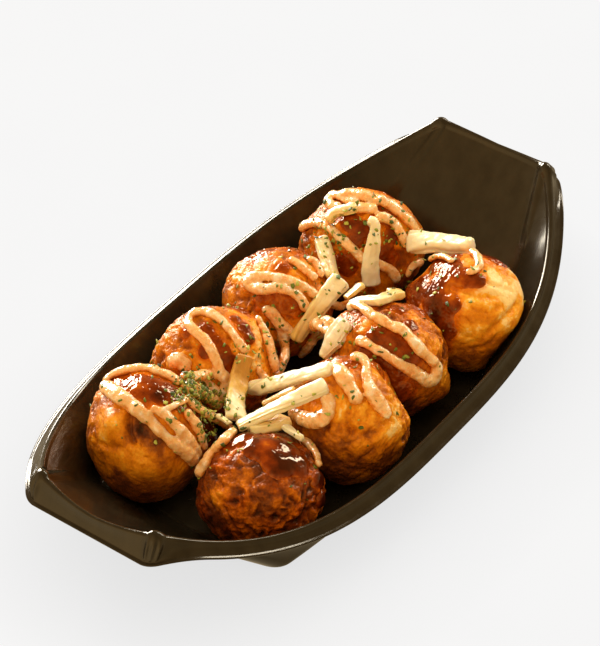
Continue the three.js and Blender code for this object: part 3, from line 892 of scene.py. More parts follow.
class Ball:
    """One ball: its plain surface from its solid, its crust over that, and its sauce on top."""

    def __init__(self, name, looks, seed):
        self.name = name
        self.looks = looks
        self.seed = seed
        low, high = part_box(name)
        self.middle = np.array((low + high) / 2) / MM
        self.reach = self.solid_reach()
        self.plain = self.at(self.reach)
        self.tree = tree_of(self.plain, TRIANGLES)
        self.shape_crust()
        self.shape_sauce()

    def at(self, reach):
        return self.middle + DIRECTIONS * reach[:, None]

    def solid_reach(self):
        """Distance to the solid's surface along each direction, smoothed over its flat faces."""
        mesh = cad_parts[self.name].data
        own = np.empty(len(mesh.vertices) * 3, np.float32)
        mesh.vertices.foreach_get("co", own)
        own = np.unique(np.round(own.reshape(-1, 3) / MM, 4), axis=0) - self.middle
        far = np.linalg.norm(own, axis=1)
        weight = np.exp(CAD_TIGHTNESS * (DIRECTIONS @ (own / far[:, None]).T - 1))
        return weight @ far / weight.sum(axis=1)

    def seen_at(self, x, y):
        """The point of the plain surface that a pixel shows, or the nearest one beside it."""
        direction = sight(x, y)
        found, _, _, _ = self.tree.ray_cast(EYE, direction)
        if found is None:
            near = EYE + direction * ((self.middle - EYE) @ direction)
            found, _, _, _ = self.tree.find_nearest(near)
        return np.array(found)

    def spread_over(self, spots):
        """The sum of soft spots on the plain surface, each (x, y, radius, share)."""
        total = np.zeros(len(self.plain))
        for x, y, radius, share in spots:
            gap = np.linalg.norm(self.plain - self.seen_at(x, y), axis=1)
            total += share * np.exp(-SPOT_FALLOFF * (gap / radius) ** 2)
        return total

    def creased(self):
        """How far the creases lower the surface, with a slight swelling along both sides."""
        total = np.zeros(len(self.plain))
        for width, depth, pixels in self.looks["creases"]:
            path = curve_through([self.seen_at(x, y) for x, y in pixels], CREASE_STEP)
            gap = gap_to_path(self.plain, path)
            swell = SWELL_DEPTH * np.exp(-((gap / (SWELL_WIDTH * width)) ** 2))
            total += depth * (np.exp(-((gap / width) ** 2)) - swell)
        return total

    def shape_crust(self):
        """The crust: soft waves, dents and creases, then crags or wrinkles, and its browning with painted
        shade and highlights.
        """
        looks, seed, points = self.looks, self.seed, self.plain
        creases = self.creased()
        soft = 0.55 * noise(points, 13, seed) + 0.25 * noise(points, 7, seed + 20)
        soft -= self.spread_over(looks["dents"]) + creases
        craggy = looks["crag"] + 0.3 * noise(points, 10, seed + 40) + self.spread_over(looks["crusts"])
        craggy = smooth_step(0.05, 0.95, craggy)
        warped = points + WARP * np.stack([noise(points, 6, seed + k) for k in (51, 52, 53)], axis=1)
        lumps = billows(warped, 3.9, seed + 60) - LUMP_LEVEL
        knobs = billows(warped, 1.9, seed + 61) - LUMP_LEVEL
        grit = billows(points, 1.1, seed + 62) - LUMP_LEVEL
        folds = billows(warped, 5.8, seed + 63) - LUMP_LEVEL
        crests = ridges(warped, 2.7, seed + 66) - LUMP_LEVEL
        crags = 0.72 * lumps + 0.30 * knobs + 0.62 * crests + 0.34 * grit
        crags = crags * (0.95 + 0.4 * noise(points, 8, seed + 64)) + 0.5 * noise(points, 5, seed + 65)
        wrinkles = looks["wrinkle"] * (1.0 * folds + 0.4 * knobs) + 0.14 * grit
        relief = craggy * crags + (1 - craggy) * wrinkles
        height = (points[:, 2] - self.middle[2]) / self.reach.mean()
        brown = looks["tone"] + 0.16 * noise(points, 9, seed + 70) + 0.15 * noise(points, 4, seed + 71)
        # Darker towards the bottom, partly browning and partly painted shade, and darker in the creases as
        # painted shade.
        brown += 0.24 * smooth_step(0.5, -0.6, height) + 0.06 * craggy + 0.14 * creases
        # Painted highlight and shade: lighter on the raised crust and darker in its hollows.
        brown -= (0.20 + 0.12 * craggy) * relief
        self.soft = soft + 0.5 * (1 - craggy) * looks["wrinkle"] * folds
        self.crust_reach = self.reach + soft + relief
        # The spots add painted shade and painted light as well as browning.
        self.brown = brown + self.spread_over(looks["spots"])
        self.craggy = craggy

    def shape_sauce(self):
        """The sauce: where it lies, how deep, how dark, and its surface over the crust."""
        looks, points = self.looks, self.plain
        field = np.full(len(points), NO_SAUCE)
        patches = [(self.seen_at(x, y), radius) for x, y, radius in looks["sauce"]]
        for turn, rise, radius in FAR_SAUCE:
            patches.append((self.middle + self.reach.mean() * far_direction(turn, rise), radius))
        for place, radius in patches:
            gap = np.linalg.norm(points - place, axis=1)
            patch = PATCH_BLEND * (1 - (gap / radius) ** 2)
            field = np.logaddexp(PATCH_BLEND * field, patch) / PATCH_BLEND
        field += 0.30 * noise(points, 5, self.seed + 80) + 0.16 * noise(points, 2.0, self.seed + 81)
        depth = looks["deep"] * (1 - np.exp(-DEEPENING * np.clip(field, 0, None)))
        depth *= 1 + 0.25 * noise(points, 4, self.seed + 82)
        self.field = field
        self.depth = depth
        self.shade = depth / DARK_DEPTH + self.spread_over(looks.get("shades", []))
        rest = self.crust_reach - self.reach - self.soft
        follow = 0.75 - 0.7 * smooth_step(0.3, 1.1, depth)
        self.sauce_reach = self.reach + self.soft + follow * rest + depth - SAUCE_SINK
        self.sauce_reach -= np.clip(-field, 0, 1) * SAUCE_DIP
        glaze = looks["glaze"] * (0.75 + 0.5 * noise(points, 6, self.seed + 83))
        self.wet = np.maximum(smooth_step(-1.2, 0.2, field), glaze)

    def carrier_reach(self):
        """What lies on the ball lies on the higher of its crust and its sauce."""
        return np.maximum(self.crust_reach, np.where(self.field > 0, self.sauce_reach, 0))


def away_from_balls(points, balls):
    """The direction away from the nearest balls at each point."""
    away = np.zeros_like(points)
    for ball in balls:
        offset = points - ball.middle
        away += offset * np.linalg.norm(offset, axis=1, keepdims=True) ** -NEAREST_POWER
    return unit(away)


def make_ball(ball, crust):
    # brown carries the crust's browning with its painted shade and painted highlights.
    values = {"brown": ball.brown, "wet": ball.wet, "craggy": ball.craggy}
    points = ball.at(ball.crust_reach)
    return make_piece(f"takoyaki_{ball.seed}", points, QUADS, crust, "crust", ball.name, values)


def make_sauce(ball, sauce):
    """The sauce on one ball: a closed layer, its underside just inside the crust."""
    covered = (ball.field > SAUCE_EDGE)[QUADS].all(axis=1)
    faces = QUADS[covered]
    used, faces = np.unique(faces, return_inverse=True)
    faces = faces.reshape(-1, 4)
    top = ball.at(ball.sauce_reach)[used]
    bottom = ball.at(np.minimum(ball.crust_reach, ball.sauce_reach) - SAUCE_UNDER)[used]
    edges = np.concatenate([faces[:, [k, (k + 1) % 4]] for k in range(4)])
    reverse = {(b, a) for a, b in edges.tolist()}
    rim = np.array([pair for pair in edges.tolist() if tuple(pair) not in reverse])
    count = len(used)
    wall = np.stack([rim[:, 1], rim[:, 0], rim[:, 0] + count, rim[:, 1] + count], axis=1)
    quads = np.vstack([faces, faces[:, ::-1] + count, wall])
    values = {"depth": ball.depth[used] / DARK_DEPTH, "shade": ball.shade[used]}
    values = {key: np.tile(numbers, 2) for key, numbers in values.items()}
    points = np.vstack([top, bottom])
    return make_piece(f"sauce_{ball.seed}", points, quads, sauce, "sauce", values=values)


# ================================================================ mayonnaise

# Strands of mayonnaise by the ball they lie on, and those that bridge the valleys between balls:
# (width, or widths along the strand, and pixels along the middle).
STRANDS = {
    "ball_1": [
        (3.6, [
            (103, 384), (110, 376), (122, 371), (136, 368), (148, 368), (160, 372), (172, 377),
            (182, 384)]),
        ((4.4, 5.4, 5.3, 5.2, 4.8, 3.7, 3.3, 4.7, 4.6, 3.4), [
            (102, 384), (112, 391), (122, 398), (131, 405), (140, 412), (149, 419), (158, 429),
            (167, 438), (178, 446), (188, 454), (196, 465)]),
        ((2.9, 3.8, 4.0, 3.5), [(150, 407), (161, 412), (172, 421), (183, 433), (192, 445), (199, 458)]),
        ((2.2, 2.6, 3.2, 3.2, 3.4), [
            (152, 411), (166, 409), (178, 404), (187, 399), (194, 405), (204, 412), (220, 421),
            (233, 430)]),
        ((3.8, 4.0, 3.4, 2.8), [(184, 411), (193, 420), (200, 433), (205, 449)]),
        ((3.4, 3.6, 4.0, 4.2), [(235, 429), (223, 441), (212, 452), (204, 464), (197, 478)]),
        (3.0, [(181, 382), (190, 391), (199, 398)]),
    ],
    "ball_2": [
        ((3.6, 3.8, 3.4, 3.2, 3.2, 3.0), [
            (222, 379), (218, 366), (213, 353), (206, 341), (196, 332), (188, 323), (191, 315),
            (201, 311), (213, 314), (223, 322), (232, 333), (240, 344), (249, 354)]),
        ((3.2, 4.2, 3.8), [(256, 316), (262, 326), (268, 340), (272, 354), (276, 372)]),
        ((3.2, 4.2, 4.1, 3.4), [
            (264, 314), (271, 314), (279, 325), (284, 340), (285, 355), (281, 367), (275, 379)]),
        ((5.0, 5.2, 4.2), [(167, 364), (178, 360), (190, 370)]),
        (3.7, [(181, 376), (194, 377), (207, 374), (219, 374), (226, 380), (224, 391), (221, 402)]),
        (3.2, [(256, 368), (263, 376), (270, 388)]),
        ((3.2, 4.2, 3.8), [(262, 313), (270, 311), (278, 320), (287, 329), (296, 337)]),
    ],
    "ball_3": [
        ((3.0, 3.4, 3.4, 4.2, 4.2, 3.8, 3.4), [
            (320, 300), (306, 288), (292, 281), (276, 277), (262, 276), (251, 277), (247, 282),
            (252, 287), (264, 289), (278, 288), (292, 292), (302, 300), (307, 312)]),
        ((3.4, 4.0, 3.4), [(288, 259), (297, 263), (307, 271), (316, 280)]),
        ((3.0, 3.6, 3.0), [(306, 257), (314, 261), (319, 269), (322, 278)]),
    ],
    "ball_4": [
        ((3.8, 3.4, 3.4, 3.6), [
            (300, 229), (309, 223), (321, 223), (332, 230), (342, 239), (352, 248), (362, 258),
            (373, 262), (385, 267), (394, 274), (398, 282)]),
        (3.6, [(342, 207), (332, 206), (328, 200), (333, 195), (342, 196), (350, 201), (359, 204)]),
        ((3.8, 5.0, 5.0, 4.2), [(338, 195), (349, 193), (360, 194), (371, 198), (381, 204)]),
        ((3.2, 4.2, 3.8), [(346, 207), (357, 208), (368, 208), (378, 210)]),
        ((3.6, 4.4, 4.8, 3.8), [(366, 196), (378, 199), (390, 205), (401, 213), (411, 223), (420, 233)]),
        (3.7, [(375, 216), (387, 218), (396, 225), (402, 236), (408, 247)]),
    ],
    "ball_6": [
        ((4.4, 5.0, 5.2, 4.6), [(334, 363), (341, 373), (348, 384), (354, 394), (360, 404)]),
        ((3.4, 3.6, 3.2, 3.8, 5.4, 5.4, 3.2), [
            (351, 359), (358, 356), (365, 362), (366, 373), (368, 384), (374, 396), (382, 407),
            (389, 417)]),
        ((3.4, 4.8, 5.6, 5.2, 4.6, 4.0), [
            (289, 411), (298, 416), (309, 420), (319, 420), (327, 413), (329, 403), (324, 393)]),
        (2.8, [(302, 439), (311, 446), (317, 456), (319, 467)]),
        (2.8, [(312, 376), (300, 384), (291, 397), (286, 410)]),
    ],
    "ball_7": [
        ((3.4, 3.8, 4.0, 4.4, 4.0, 3.6), [
            (352, 303), (362, 307), (371, 314), (382, 320), (392, 326), (403, 330), (411, 339),
            (420, 349), (430, 358), (436, 367), (435, 377), (428, 381), (419, 375), (408, 369),
            (396, 362), (384, 354), (374, 348), (364, 342), (355, 339)]),
    ],
    "ball_8": [
        ((3.0, 3.4, 3.2, 2.4), [(471, 250), (478, 257), (479, 265), (474, 271), (466, 272)]),
        ((2.4, 3.4, 2.2), [(429, 260), (437, 256), (445, 257), (453, 262)]),
        (3.0, [(408, 277), (410, 270), (416, 264), (424, 262)]),
    ],
    "valleys": [
        (5.0, [(186, 384), (197, 389), (208, 397), (220, 407)]),
        (4.6, [(192, 380), (204, 384), (214, 391), (221, 399)]),
        (3.4, [(314, 322), (322, 327), (331, 333), (336, 342)]),
        (3.2, [(296, 336), (304, 330), (314, 330), (322, 338)]),
        (3.0, [(330, 302), (338, 306), (347, 304), (352, 303)]),
        (4.2, [(311, 329), (318, 323), (326, 321), (333, 325)]),
        ((3.6, 4.2, 3.4), [(317, 330), (312, 341), (306, 350), (300, 357)]),
    ],
}
STRAND_STEP = 0.5  # pixels between the places where a strand is dropped on what carries it
STEEPEST = 1.3  # how steeply a strand falls away from the camera where it bridges a valley
SINK = 0.45  # share of a strand's half-width by which its middle stands off what carries it
STRAND_SIDES = 14
STRAND_FLAT = 0.76  # a strand's height over its width
TUBE_STEP = 0.45  # spacing of the rings along a strand
TUBE_KNOTS = 60  # about the most points that a strand's smooth path is drawn through
EASE_WINDOW = 9  # places over which a strand's fall is smoothed
BELOW_ALL = 30  # how far a strand may fall where nothing is under it
TUBE_SEED, SKIN_SEED, GRAIN_SEED = 100, 300, 320
VOXEL = 0.36  # grain of the mesh that the strands of one group melt into


def carriers_tree(balls, lift):
    """A search tree of all the balls with their sauce, grown outwards by `lift`."""
    return tree_of(*joined([(ball.at(ball.carrier_reach() + lift), TRIANGLES) for ball in balls]))


def eased(distances, spacing):
    """Distances to what carries a strand, kept from falling away more steeply than it can hang."""
    met = np.isfinite(distances)
    held = np.where(met, distances, distances[met].max() + BELOW_ALL)
    fall = STEEPEST * spacing
    for i in range(1, len(held)):
        held[i] = min(held[i], held[i - 1] + fall)
    for i in range(len(held) - 2, -1, -1):
        held[i] = min(held[i], held[i + 1] + fall)
    window = np.hanning(EASE_WINDOW)
    padded = np.pad(held, EASE_WINDOW // 2, mode="edge")
    soft = np.convolve(padded, window / window.sum(), mode="valid")
    return np.minimum(soft, held + 0.1)


def dropped_on(tree, starts, directions, spacing):
    """Where points moving along their directions meet the tree, eased into one smooth line."""
    distances = []
    for start, direction in zip(starts, directions):
        distance = tree.ray_cast(start, direction)[3]
        distances.append(np.inf if distance is None else distance)
    held = eased(np.array(distances), spacing)
    return starts + directions * held[:, None]


def along_strip(values, count):
    """A number, or several spread evenly along a strip, at each of its places."""
    values = np.atleast_1d(values)
    return np.interp(np.linspace(0, 1, count), np.linspace(0, 1, len(values)), values)


def from_ends(path, step):
    """How far along a path each of its places is, and how far from the nearer end."""
    along = np.arange(len(path)) * step
    return along, np.minimum(along, along[-1] - along)


def sides_of(path, balls):
    """The directions across a path that lies on the food, level with the food and off it."""
    tangent = unit(np.gradient(path, axis=0))
    side = unit(np.cross(tangent, away_from_balls(path, balls)))
    return side, np.cross(side, tangent)


def round_angles(count, shift=0.0):
    """Angles spread evenly over a full turn, `shift` steps on."""
    return (np.arange(count) + shift) * 2 * math.pi / count


def strand_tube(path, width, balls, seed):
    """A closed flattened tube with round ends and an uneven width along a path."""
    path = curve_through(path[:: max(1, len(path) // TUBE_KNOTS)], TUBE_STEP)
    half = along_strip(width, len(path)) / 2
    along, end = from_ends(path, TUBE_STEP)
    taper = np.sqrt(np.clip(1 - np.clip(1 - end / half, 0, 1) ** 2, 0.03, 1))
    place = np.stack([along, np.full_like(along, seed * 11.3), np.zeros_like(along)], axis=1)
    radius = half * taper * (1 + 0.13 * noise(place, 4.5, seed) + 0.07 * noise(place, 1.7, seed + 5))
    side, face = sides_of(path, balls)
    angle = round_angles(STRAND_SIDES)[:, None]
    ring = side[:, None] * np.cos(angle) + face[:, None] * STRAND_FLAT * np.sin(angle)
    return rings_mesh(path[:, None] + ring * radius[:, None, None])


def melted(name, tubes):
    """Tubes joined into one skin by a voxel grid and smoothed."""
    mesh = bpy.data.meshes.new(name + "_tubes")
    fill_mesh(mesh, *joined(tubes))
    rough = add_object(name + "_tubes", mesh)
    remesh = rough.modifiers.new("join", "REMESH")
    remesh.mode = "VOXEL"
    remesh.voxel_size = VOXEL * MM
    smooth = rough.modifiers.new("ease", "SMOOTH")
    smooth.factor = 0.5
    smooth.iterations = 4
    graph = bpy.context.evaluated_depsgraph_get()
    made = rough.evaluated_get(graph).to_mesh()
    points = np.empty(len(made.vertices) * 3, np.float32)
    made.vertices.foreach_get("co", points)
    corners = np.empty(len(made.polygons) * 4, np.int32)
    made.loops.foreach_get("vertex_index", corners)
    rough.to_mesh_clear()
    bpy.data.objects.remove(rough)
    return points.reshape(-1, 3) / MM, corners.reshape(-1, 4)


def bumps(points, seed, size):
    """Noise with two sizes of feature."""
    return noise(points, size, seed) + 0.5 * noise(points, size / 2.3, seed + 9)


def uneven(points, faces, shift):
    """Points moved along their normals."""
    return points + normals_of(points, faces) * shift[:, None]


def strand_paths(balls):
    """Each group's strands as (group, width, path) with paths in the row's frame."""
    trees = {}

    def tree_for(width):
        lift = round(float(np.mean(width)) / 2 * SINK, 1)
        if lift not in trees:
            trees[lift] = carriers_tree(balls, lift)
        return trees[lift]

    scale = DISTANCE / FOCAL_PX
    for group, strands in STRANDS.items():
        for width, pixels in strands:
            route = curve_through(pixels, STRAND_STEP)
            directions = np.array([sight(x, y) for x, y in route])
            starts = np.repeat(EYE[None], len(route), axis=0)
            yield group, width, dropped_on(tree_for(width), starts, directions, STRAND_STEP * scale)


def make_mayonnaise(balls, material):
    """One piece for each group of strands. Returns the points and faces of them all."""
    groups = {}
    for number, (group, width, path) in enumerate(strand_paths(balls)):
        groups.setdefault(group, []).append(strand_tube(path, width, balls, TUBE_SEED + number))
    made = []
    for number, (group, tubes) in enumerate(groups.items()):
        points, faces = melted(f"mayonnaise_{number + 1}", tubes)
        shift = 0.22 * bumps(points, SKIN_SEED + number, 2.9)
        shift = shift + 0.10 * bumps(points, GRAIN_SEED + number, 1.3)
        points = uneven(points, faces, shift)
        # Painted light and shade: paler where a strand faces away from the balls, more orange down its
        # sides and in its hollows.
        top = (normals_of(points, faces) * away_from_balls(points, balls)).sum(axis=1)
        values = {"painted_light_and_shade": 0.5 * shift + 0.26 * (top - 0.68)}
        make_piece(f"mayonnaise_{number + 1}", points, faces, material, "mayonnaise", values=values)
        made.append((points, faces))
    return made


# ================================================================ cheese

# Strips of cheese: width, thickness, tint (0 cream, 1 yellow-brown), and the points that the
# middle passes through, in the row's frame. Widths and tints may change along the strip. A scratch
# program worked most of the points out, from pixels and distances chosen by hand.
# A strip's tint is partly sauce soaked into it and partly painted shade on its shaded parts.
STRIPS = [
    ((5.2, 6.4, 6.6), 3.2, (0.3, 0.35, 0.5), [
        (40.5, 24.6, 36.1), (35.2, 18.2, 33.2), (29.8, 11.8, 31.3)]),
    ((3.6, 4.4, 5.6, 6.4, 6.6), 3.2, (0.2, 0.25, 0.1, 0.0), [
        (50.9, 12.5, 42.6), (51.4, 10.4, 42.0), (47.9, 7.9, 38.2), (43.8, 6.3, 32.0), (41.5, 4.3, 24.1)]),
    ((8.2, 7.8, 6.8), 6.0, (0.15, 0.1, 0.1), [
        (58.5, 0.6, 33.7), (61.5, -10.0, 36.4), (63.6, -21.4, 39.3)]),
    ((7.6, 6.2, 5.0), 3.6, (0.15, 0.45, 0.65), [(28.8, 7.8, 33.6), (15.6, 8.2, 29.8), (6.2, 10.4, 21.6)]),
    ((4.6, 4.2, 4.4, 5.2, 5.6), 3.4, (0.2, 0.15, 0.25, 0.5, 0.7), [
        (16.6, -4.0, 36.9), (18.7, -8.5, 39.9), (19.4, -14.3, 42.8), (24.1, -15.4, 41.9),
        (28.4, -16.9, 41.0)]),
    ((6.2, 7.2, 2.8), 3.6, (0.0, 0.0, 0.15), [(7.8, -8.9, 39.2), (3.3, -7.8, 34.4), (-1.0, -6.2, 28.3)]),
    ((5.6, 5.4, 5.0), 3.2, (0.2, 0.1, 0.05), [
        (-26.9, 5.5, 26.5), (-23.0, -8.8, 36.2), (-19.6, -22.4, 46.1)]),
    (5.6, 3.4, (0.35, 0.2, 0.05), [(-49.0, -7.6, 34.6), (-37.0, -15.9, 39.6), (-25.5, -24.6, 44.6)]),
    ((5.8, 6.6, 6.8, 7.4), 3.0, (1.2, 0.9, 0.45, 0.2), [
        (-22.6, 9.5, 36.5), (-27.4, 8.0, 32.6), (-34.2, 4.4, 30.0), (-42.9, -1.7, 30.0)]),
    ((3.8, 3.0, 1.2), 1.9, (0.1, 0.1, 0.2), [
        (-40.5, -19.3, 35.1), (-41.4, -23.1, 35.3), (-42.3, -27.6, 35.8)]),
    ((4.0, 7.8, 7.6), 4.0, (0.45, 0.5, 0.5), [
        (-48.7, -11.6, 34.9), (-43.0, -14.9, 34.0), (-36.1, -16.9, 32.9)]),
    ((2.4, 2.8), 1.8, (0.8, 0.8), [(-34.5, -6.2, 32.6), (-27.3, -14.3, 38.1)]),
    ((3.2, 3.8, 3.6, 3.4), 3.0, (0.6, 0.5, 0.5), [
        (44.6, 24.6, 40.5), (47.4, 24.1, 42.3), (49.8, 20.9, 43.7), (52.0, 17.9, 45.0)]),
]
STRIP_ROLLS = {3: 30, 6: -32, 7: 12, 8: 10}  # degrees that some strips are rolled about their length
# Bits of cheese too small for solids of their own, as STRIPS.
BITS = [
    ((3.4, 4.6, 3.4), 2.2, 0.6, [(22.2, 1.4, 33.4), (25.6, 0.4, 34.6), (29.2, -0.8, 35.4)]),
    (3.0, 1.8, 0.4, [(-45.1, 3.2, 30.2), (-46.6, -2.5, 31.1)]),
    (4.2, 1.8, 0.5, [(27.8, -11.8, 39.4), (30.8, -15.3, 38.6)]),
]
CHEESE_SIDES = 56
CHEESE_STEP = 0.5
CHEESE_SQUARENESS = 0.74  # 1 for a round strip, less for a squarer one
CHEESE_TAPER, TAPER_REACH = 0.22, 0.8  # how much an end narrows, and over what length
STRIP_SEED, BIT_SEED = 500, 540
CHEESE_GROOVES = 6  # round each strip
GROOVE_DEPTH = (0.04, 0.19)  # as a share of the strip's half-width


def grooves_round(angle, along, seed):
    """How far each place is cut in by the grooves that run along a strip."""
    random = np.random.default_rng(seed)
    cut = np.zeros((len(along), len(angle)))
    place = np.stack([along, np.full_like(along, seed * 5.7), np.zeros_like(along)], axis=1)
    for k in range(CHEESE_GROOVES):
        middle = (k + random.uniform(-0.3, 0.3)) * 2 * math.pi / CHEESE_GROOVES
        drift = 0.22 * noise(place, 9.0, seed + k)
        gap = np.angle(np.exp(1j * (angle[None, :] - middle - drift[:, None])))
        width = random.uniform(0.14, 0.34)
        cut += random.uniform(*GROOVE_DEPTH) * np.exp(-((gap / width) ** 2))
    return cut


def squared(value):
    """Half of a sine or cosine, drawn out towards a square's corners."""
    return np.sign(value) * np.abs(value) ** CHEESE_SQUARENESS / 2


def strip_mesh(strip, balls, roll, seed):
    """A strip's points and faces, and its tint at each point."""
    width, thick, tint, through = strip
    path = curve_through(through, CHEESE_STEP)
    level, top = sides_of(path, balls)
    side = level * math.cos(roll) - top * math.sin(roll)
    face = top * math.cos(roll) + level * math.sin(roll)
    along, end = from_ends(path, CHEESE_STEP)
    taper = 1 - CHEESE_TAPER * np.clip(1 - end / TAPER_REACH, 0, 1) ** 2
    angle = round_angles(CHEESE_SIDES, 0.5)
    scale = (1 - grooves_round(angle, along, seed)) * taper[:, None]
    wide = scale * squared(np.cos(angle)) * along_strip(width, len(path))[:, None]
    high = scale * squared(np.sin(angle)) * along_strip(thick, len(path))[:, None]
    rings = path[:, None] + side[:, None] * wide[..., None] + face[:, None] * high[..., None]
    points, faces = rings_mesh(rings)
    tints = np.repeat(along_strip(tint, len(path)), CHEESE_SIDES)
    tints = np.concatenate([tints, tints[:1], tints[-1:]])
    shift = 0.33 * bumps(points, seed, 5.0) + 0.11 * bumps(points, seed + 50, 1.5)
    return uneven(points, faces, shift), faces, tints


def make_cheese(balls, material):
    """The strips for the solids and the bits besides. Returns the points and faces of them all."""
    rows = [
        (f"cheese_strip_{k}", f"cheese_{k}", strip, STRIP_ROLLS.get(k, 0), STRIP_SEED + k)
        for k, strip in enumerate(STRIPS, 1)
    ]
    rows += [(f"cheese_bit_{k}", None, strip, 0, BIT_SEED + k) for k, strip in enumerate(BITS, 1)]
    made = []
    for name, node, strip, roll, seed in rows:
        points, faces, tints = strip_mesh(strip, balls, math.radians(roll), seed)
        make_piece(name, points, faces, material, "cheese", node, {"tint": tints})
        made.append((points, faces))
    return made


# ================================================================ seaweed flakes

# Where flakes lie: (x, y, spread, count) with pixels for place and spread.
FLAKES = [
    (196, 392, 11, 190), (186, 384, 7, 80), (212, 405, 8, 100), (208, 432, 7, 40), (165, 400, 20, 22),
    (240, 400, 22, 26), (265, 345, 20, 44), (225, 350, 24, 22), (330, 235, 13, 44), (350, 230, 24, 36),
    (395, 235, 14, 36), (300, 290, 24, 24), (325, 320, 18, 36), (390, 300, 24, 20), (330, 385, 34, 26),
    (430, 270, 24, 14), (240, 418, 12, 14), (390, 345, 34, 16), (360, 400, 36, 4), (150, 440, 36, 4),
]
FAR_FLAKES = 170  # more of them, scattered from above
SCATTER = np.array([78.0, 45.0, 90.0])  # how far to both sides they start, and how high up
LOWEST_FLAKE = 14  # no flake is kept below this height
FLAKE_SEED = 11
FLAKE_SIZES = (0.35, 1.2)  # from a flake's middle to its rim
FLAKE_SIDES = 6
FLAKE_THICK = 0.09


def flake_mesh(place, normal, size, random):
    """A small bent plate with an uneven outline, lying on a surface."""
    tilt = unit(normal + random.normal(0, 0.28, 3))
    side = unit(np.cross(tilt, random.normal(0, 1, 3)))
    other = np.cross(tilt, side)
    angle = round_angles(FLAKE_SIDES, random.uniform(-0.3, 0.3, FLAKE_SIDES))
    reach = size * random.uniform(0.6, 1.15, FLAKE_SIDES)
    narrow = random.uniform(0.35, 0.8)
    flat = side * (np.cos(angle) * reach)[:, None] + other * (np.sin(angle) * reach * narrow)[:, None]
    bend = tilt * (random.uniform(-0.25, 0.45) * (np.cos(angle) ** 2) * size)[:, None]
    middle = place + normal * (0.12 + 0.1 * size)
    rim = middle + flat + bend
    top = np.vstack([rim, middle]) + tilt * FLAKE_THICK / 2
    return np.vstack([top, top - tilt * FLAKE_THICK])


def flake_faces():
    ring = np.arange(FLAKE_SIDES)
    nxt = (ring + 1) % FLAKE_SIDES
    under = FLAKE_SIDES + 1
    top = np.stack([np.full(FLAKE_SIDES, FLAKE_SIDES), ring, nxt], axis=1)
    bottom = np.stack([np.full(FLAKE_SIDES, FLAKE_SIDES + under), nxt + under, ring + under], axis=1)
    wall = np.vstack([
        np.stack([ring, ring + under, nxt], axis=1),
        np.stack([nxt, ring + under, nxt + under], axis=1),
    ])
    return np.vstack([top, bottom, wall])


def make_flakes(surfaces, material):
    """Flakes dropped on the food, along the camera's line of sight and from above."""
    random = np.random.default_rng(FLAKE_SEED)
    food = tree_of(*joined([(points, triangles_of(faces)) for points, faces in surfaces]))
    lines = []
    for x, y, spread, count in FLAKES:
        for _ in range(count):
            lines.append((EYE, sight(x + random.normal(0, spread), y + random.normal(0, spread))))
    for _ in range(FAR_FLAKES):
        x, y = (random.uniform(-reach, reach) for reach in SCATTER[:2])
        lines.append((np.array([x, y, SCATTER[2]]), -UP))
    flakes, shades = [], []
    for start, direction in lines:
        found, normal, _, _ = food.ray_cast(start, direction)
        if found is None or found[2] < LOWEST_FLAKE:
            continue
        size = random.uniform(*FLAKE_SIZES)
        flakes.append((flake_mesh(np.array(found), np.array(normal), size, random), flake_faces()))
        shades += [random.uniform(0, 1)] * (2 * FLAKE_SIDES + 2)
    make_piece("seaweed_flakes", *joined(flakes), material, "seaweed", values={"shade": shades})


# ================================================================ stage


FLOOR_HALF = 3000.0


def make_floor():
    corners = FLOOR_HALF * np.array([(-1, -1, 0), (1, -1, 0), (1, 1, 0), (-1, 1, 0)])
    mesh = bpy.data.meshes.new("floor")
    fill_mesh(mesh, corners, np.array([[0, 1, 2, 3]]))
    mesh.materials.append(floor_material())
    floor = add_object("floor", mesh)
    floor.visible_diffuse = False
    floor.visible_glossy = False
    floor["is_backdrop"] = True


# What the world gives off under the table's height, level with it, over it, and straight above.
TABLE_GLOW = (0.52, 0.40, 0.235)
SIDE_GLOW = (0.62, 0.465, 0.26)
ROOM_GLOW = (0.44, 0.30, 0.150)
CEILING_GLOW = (0.34, 0.235, 0.12)
NEAR_GLOW = 2.9  # how much more it gives off beyond the near end
BACKDROP = (0.86, 0.86, 0.86)  # what shows over the table's edge from low down


def make_light(name, towards, along, distance, size, power, colour, glossy=True, diffuse=True):
    """A soft rectangular light, `distance` from the object, that faces it, its width `along`."""
    data = bpy.data.lights.new(name, "AREA")
    data.shape = "RECTANGLE"
    data.size, data.size_y = size
    data.energy = power
    data.color = colour
    lamp = add_object(name, data)
    lamp.visible_glossy = glossy
    lamp.visible_diffuse = diffuse
    direction = unit(np.array(towards))
    height = unit(np.cross(direction, along))
    turn = Matrix([np.cross(height, direction), height, direction]).transposed().to_4x4()
    lamp.matrix_world = Matrix.Translation(Vector(TARGET * MM + direction * distance)) @ turn


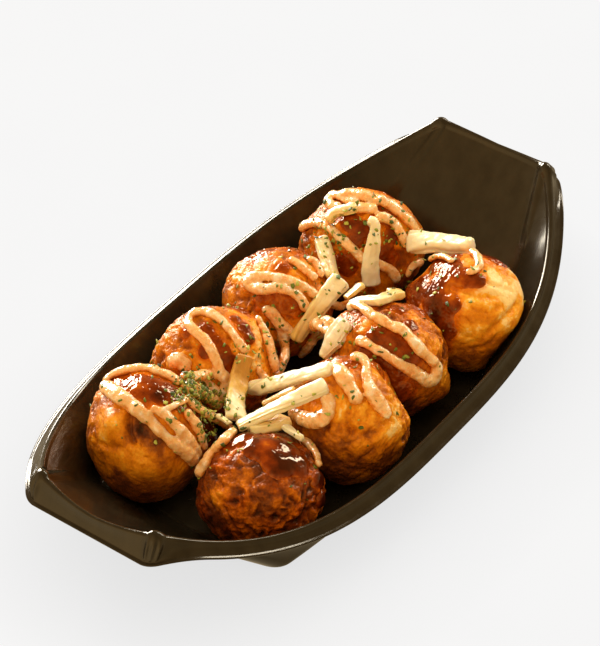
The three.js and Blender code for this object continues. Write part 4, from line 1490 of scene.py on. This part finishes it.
def make_world():
    """A dim warm room, brighter beyond the near end, in front of a pale backdrop."""
    world = bpy.data.worlds.new("world")
    world.use_nodes = True
    tree = world.node_tree
    direction = add_node(tree, "ShaderNodeTexCoord").outputs["Generated"]
    parts = add_node(tree, "ShaderNodeSeparateXYZ", {"Vector": direction}).outputs
    share = ranged(tree, parts["Z"], -1.0, 1.0, 0.0, 1.0)
    glows = [(0.42, TABLE_GLOW), (0.56, SIDE_GLOW), (0.70, ROOM_GLOW), (0.95, CEILING_GLOW)]
    colour = ramp_of(tree, share, glows)
    near = ranged(tree, parts["X"], -0.3, -1.0, 1.0, NEAR_GLOW)
    colour = mixed(tree, 1.0, colour, near, "MULTIPLY")
    seen = add_node(tree, "ShaderNodeLightPath").outputs["Is Camera Ray"]
    colour = mixed(tree, seen, colour, BACKDROP)
    tree.links.new(colour, tree.nodes["Background"].inputs["Color"])
    bpy.context.scene.world = world


def make_lights():
    """Two windows behind the food, soft fill from above, and a card for the tray to reflect."""
    white, warm = (1, 0.97, 0.93), (1, 0.93, 0.84)
    level = np.cross(UP, BACK)
    slant = (0.208, -0.458, -0.508)
    front = BACK * 0.6 + UP * 0.6 - RIGHT * 0.25
    make_light("left_window", (0.32, 0.79, 0.52), (0.93, -0.37, 0), 1.4, (0.42, 0.30), 15, white)
    make_light("right_window", (0.816, -0.14, 0.46), slant, 1.4, (0.9, 0.22), 13, white)
    make_light("above", UP * 0.95 + BACK * 0.12, level, 1.6, (1.2, 1.2), 5, warm, glossy=False)
    make_light("front", front, level, 1.5, (0.9, 0.9), 5.5, warm, glossy=False)
    make_light("low_card", (0.34, 0.91, 0.22), (0.94, -0.35, 0), 1.3, (0.8, 0.5), 56, white, diffuse=False)


# ================================================================ assembly

make_camera()
bpy.context.scene.view_settings.view_transform = "Standard"

tray_points, tray_faces = tray_mesh()
make_piece("boat_tray", tray_points, tray_faces, tray_material(), "tray_plastic", "tray")

crust, sauce = crust_material(), sauce_material()
balls = [Ball(name, looks, number) for number, (name, looks) in enumerate(BALLS.items(), 1)]
surfaces = []
for ball in balls:
    make_ball(ball, crust)
    make_sauce(ball, sauce)
    surfaces.append((ball.at(ball.carrier_reach()), QUADS))
surfaces += make_mayonnaise(balls, mayonnaise_material())
surfaces += make_cheese(balls, cheese_material())
make_flakes(surfaces, seaweed_material())

make_floor()
make_world()
make_lights()

boxes = {"cad": CAD_BOX, "visual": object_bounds()}
{key: [list(low), list(high)] for key, (low, high) in boxes.items()}
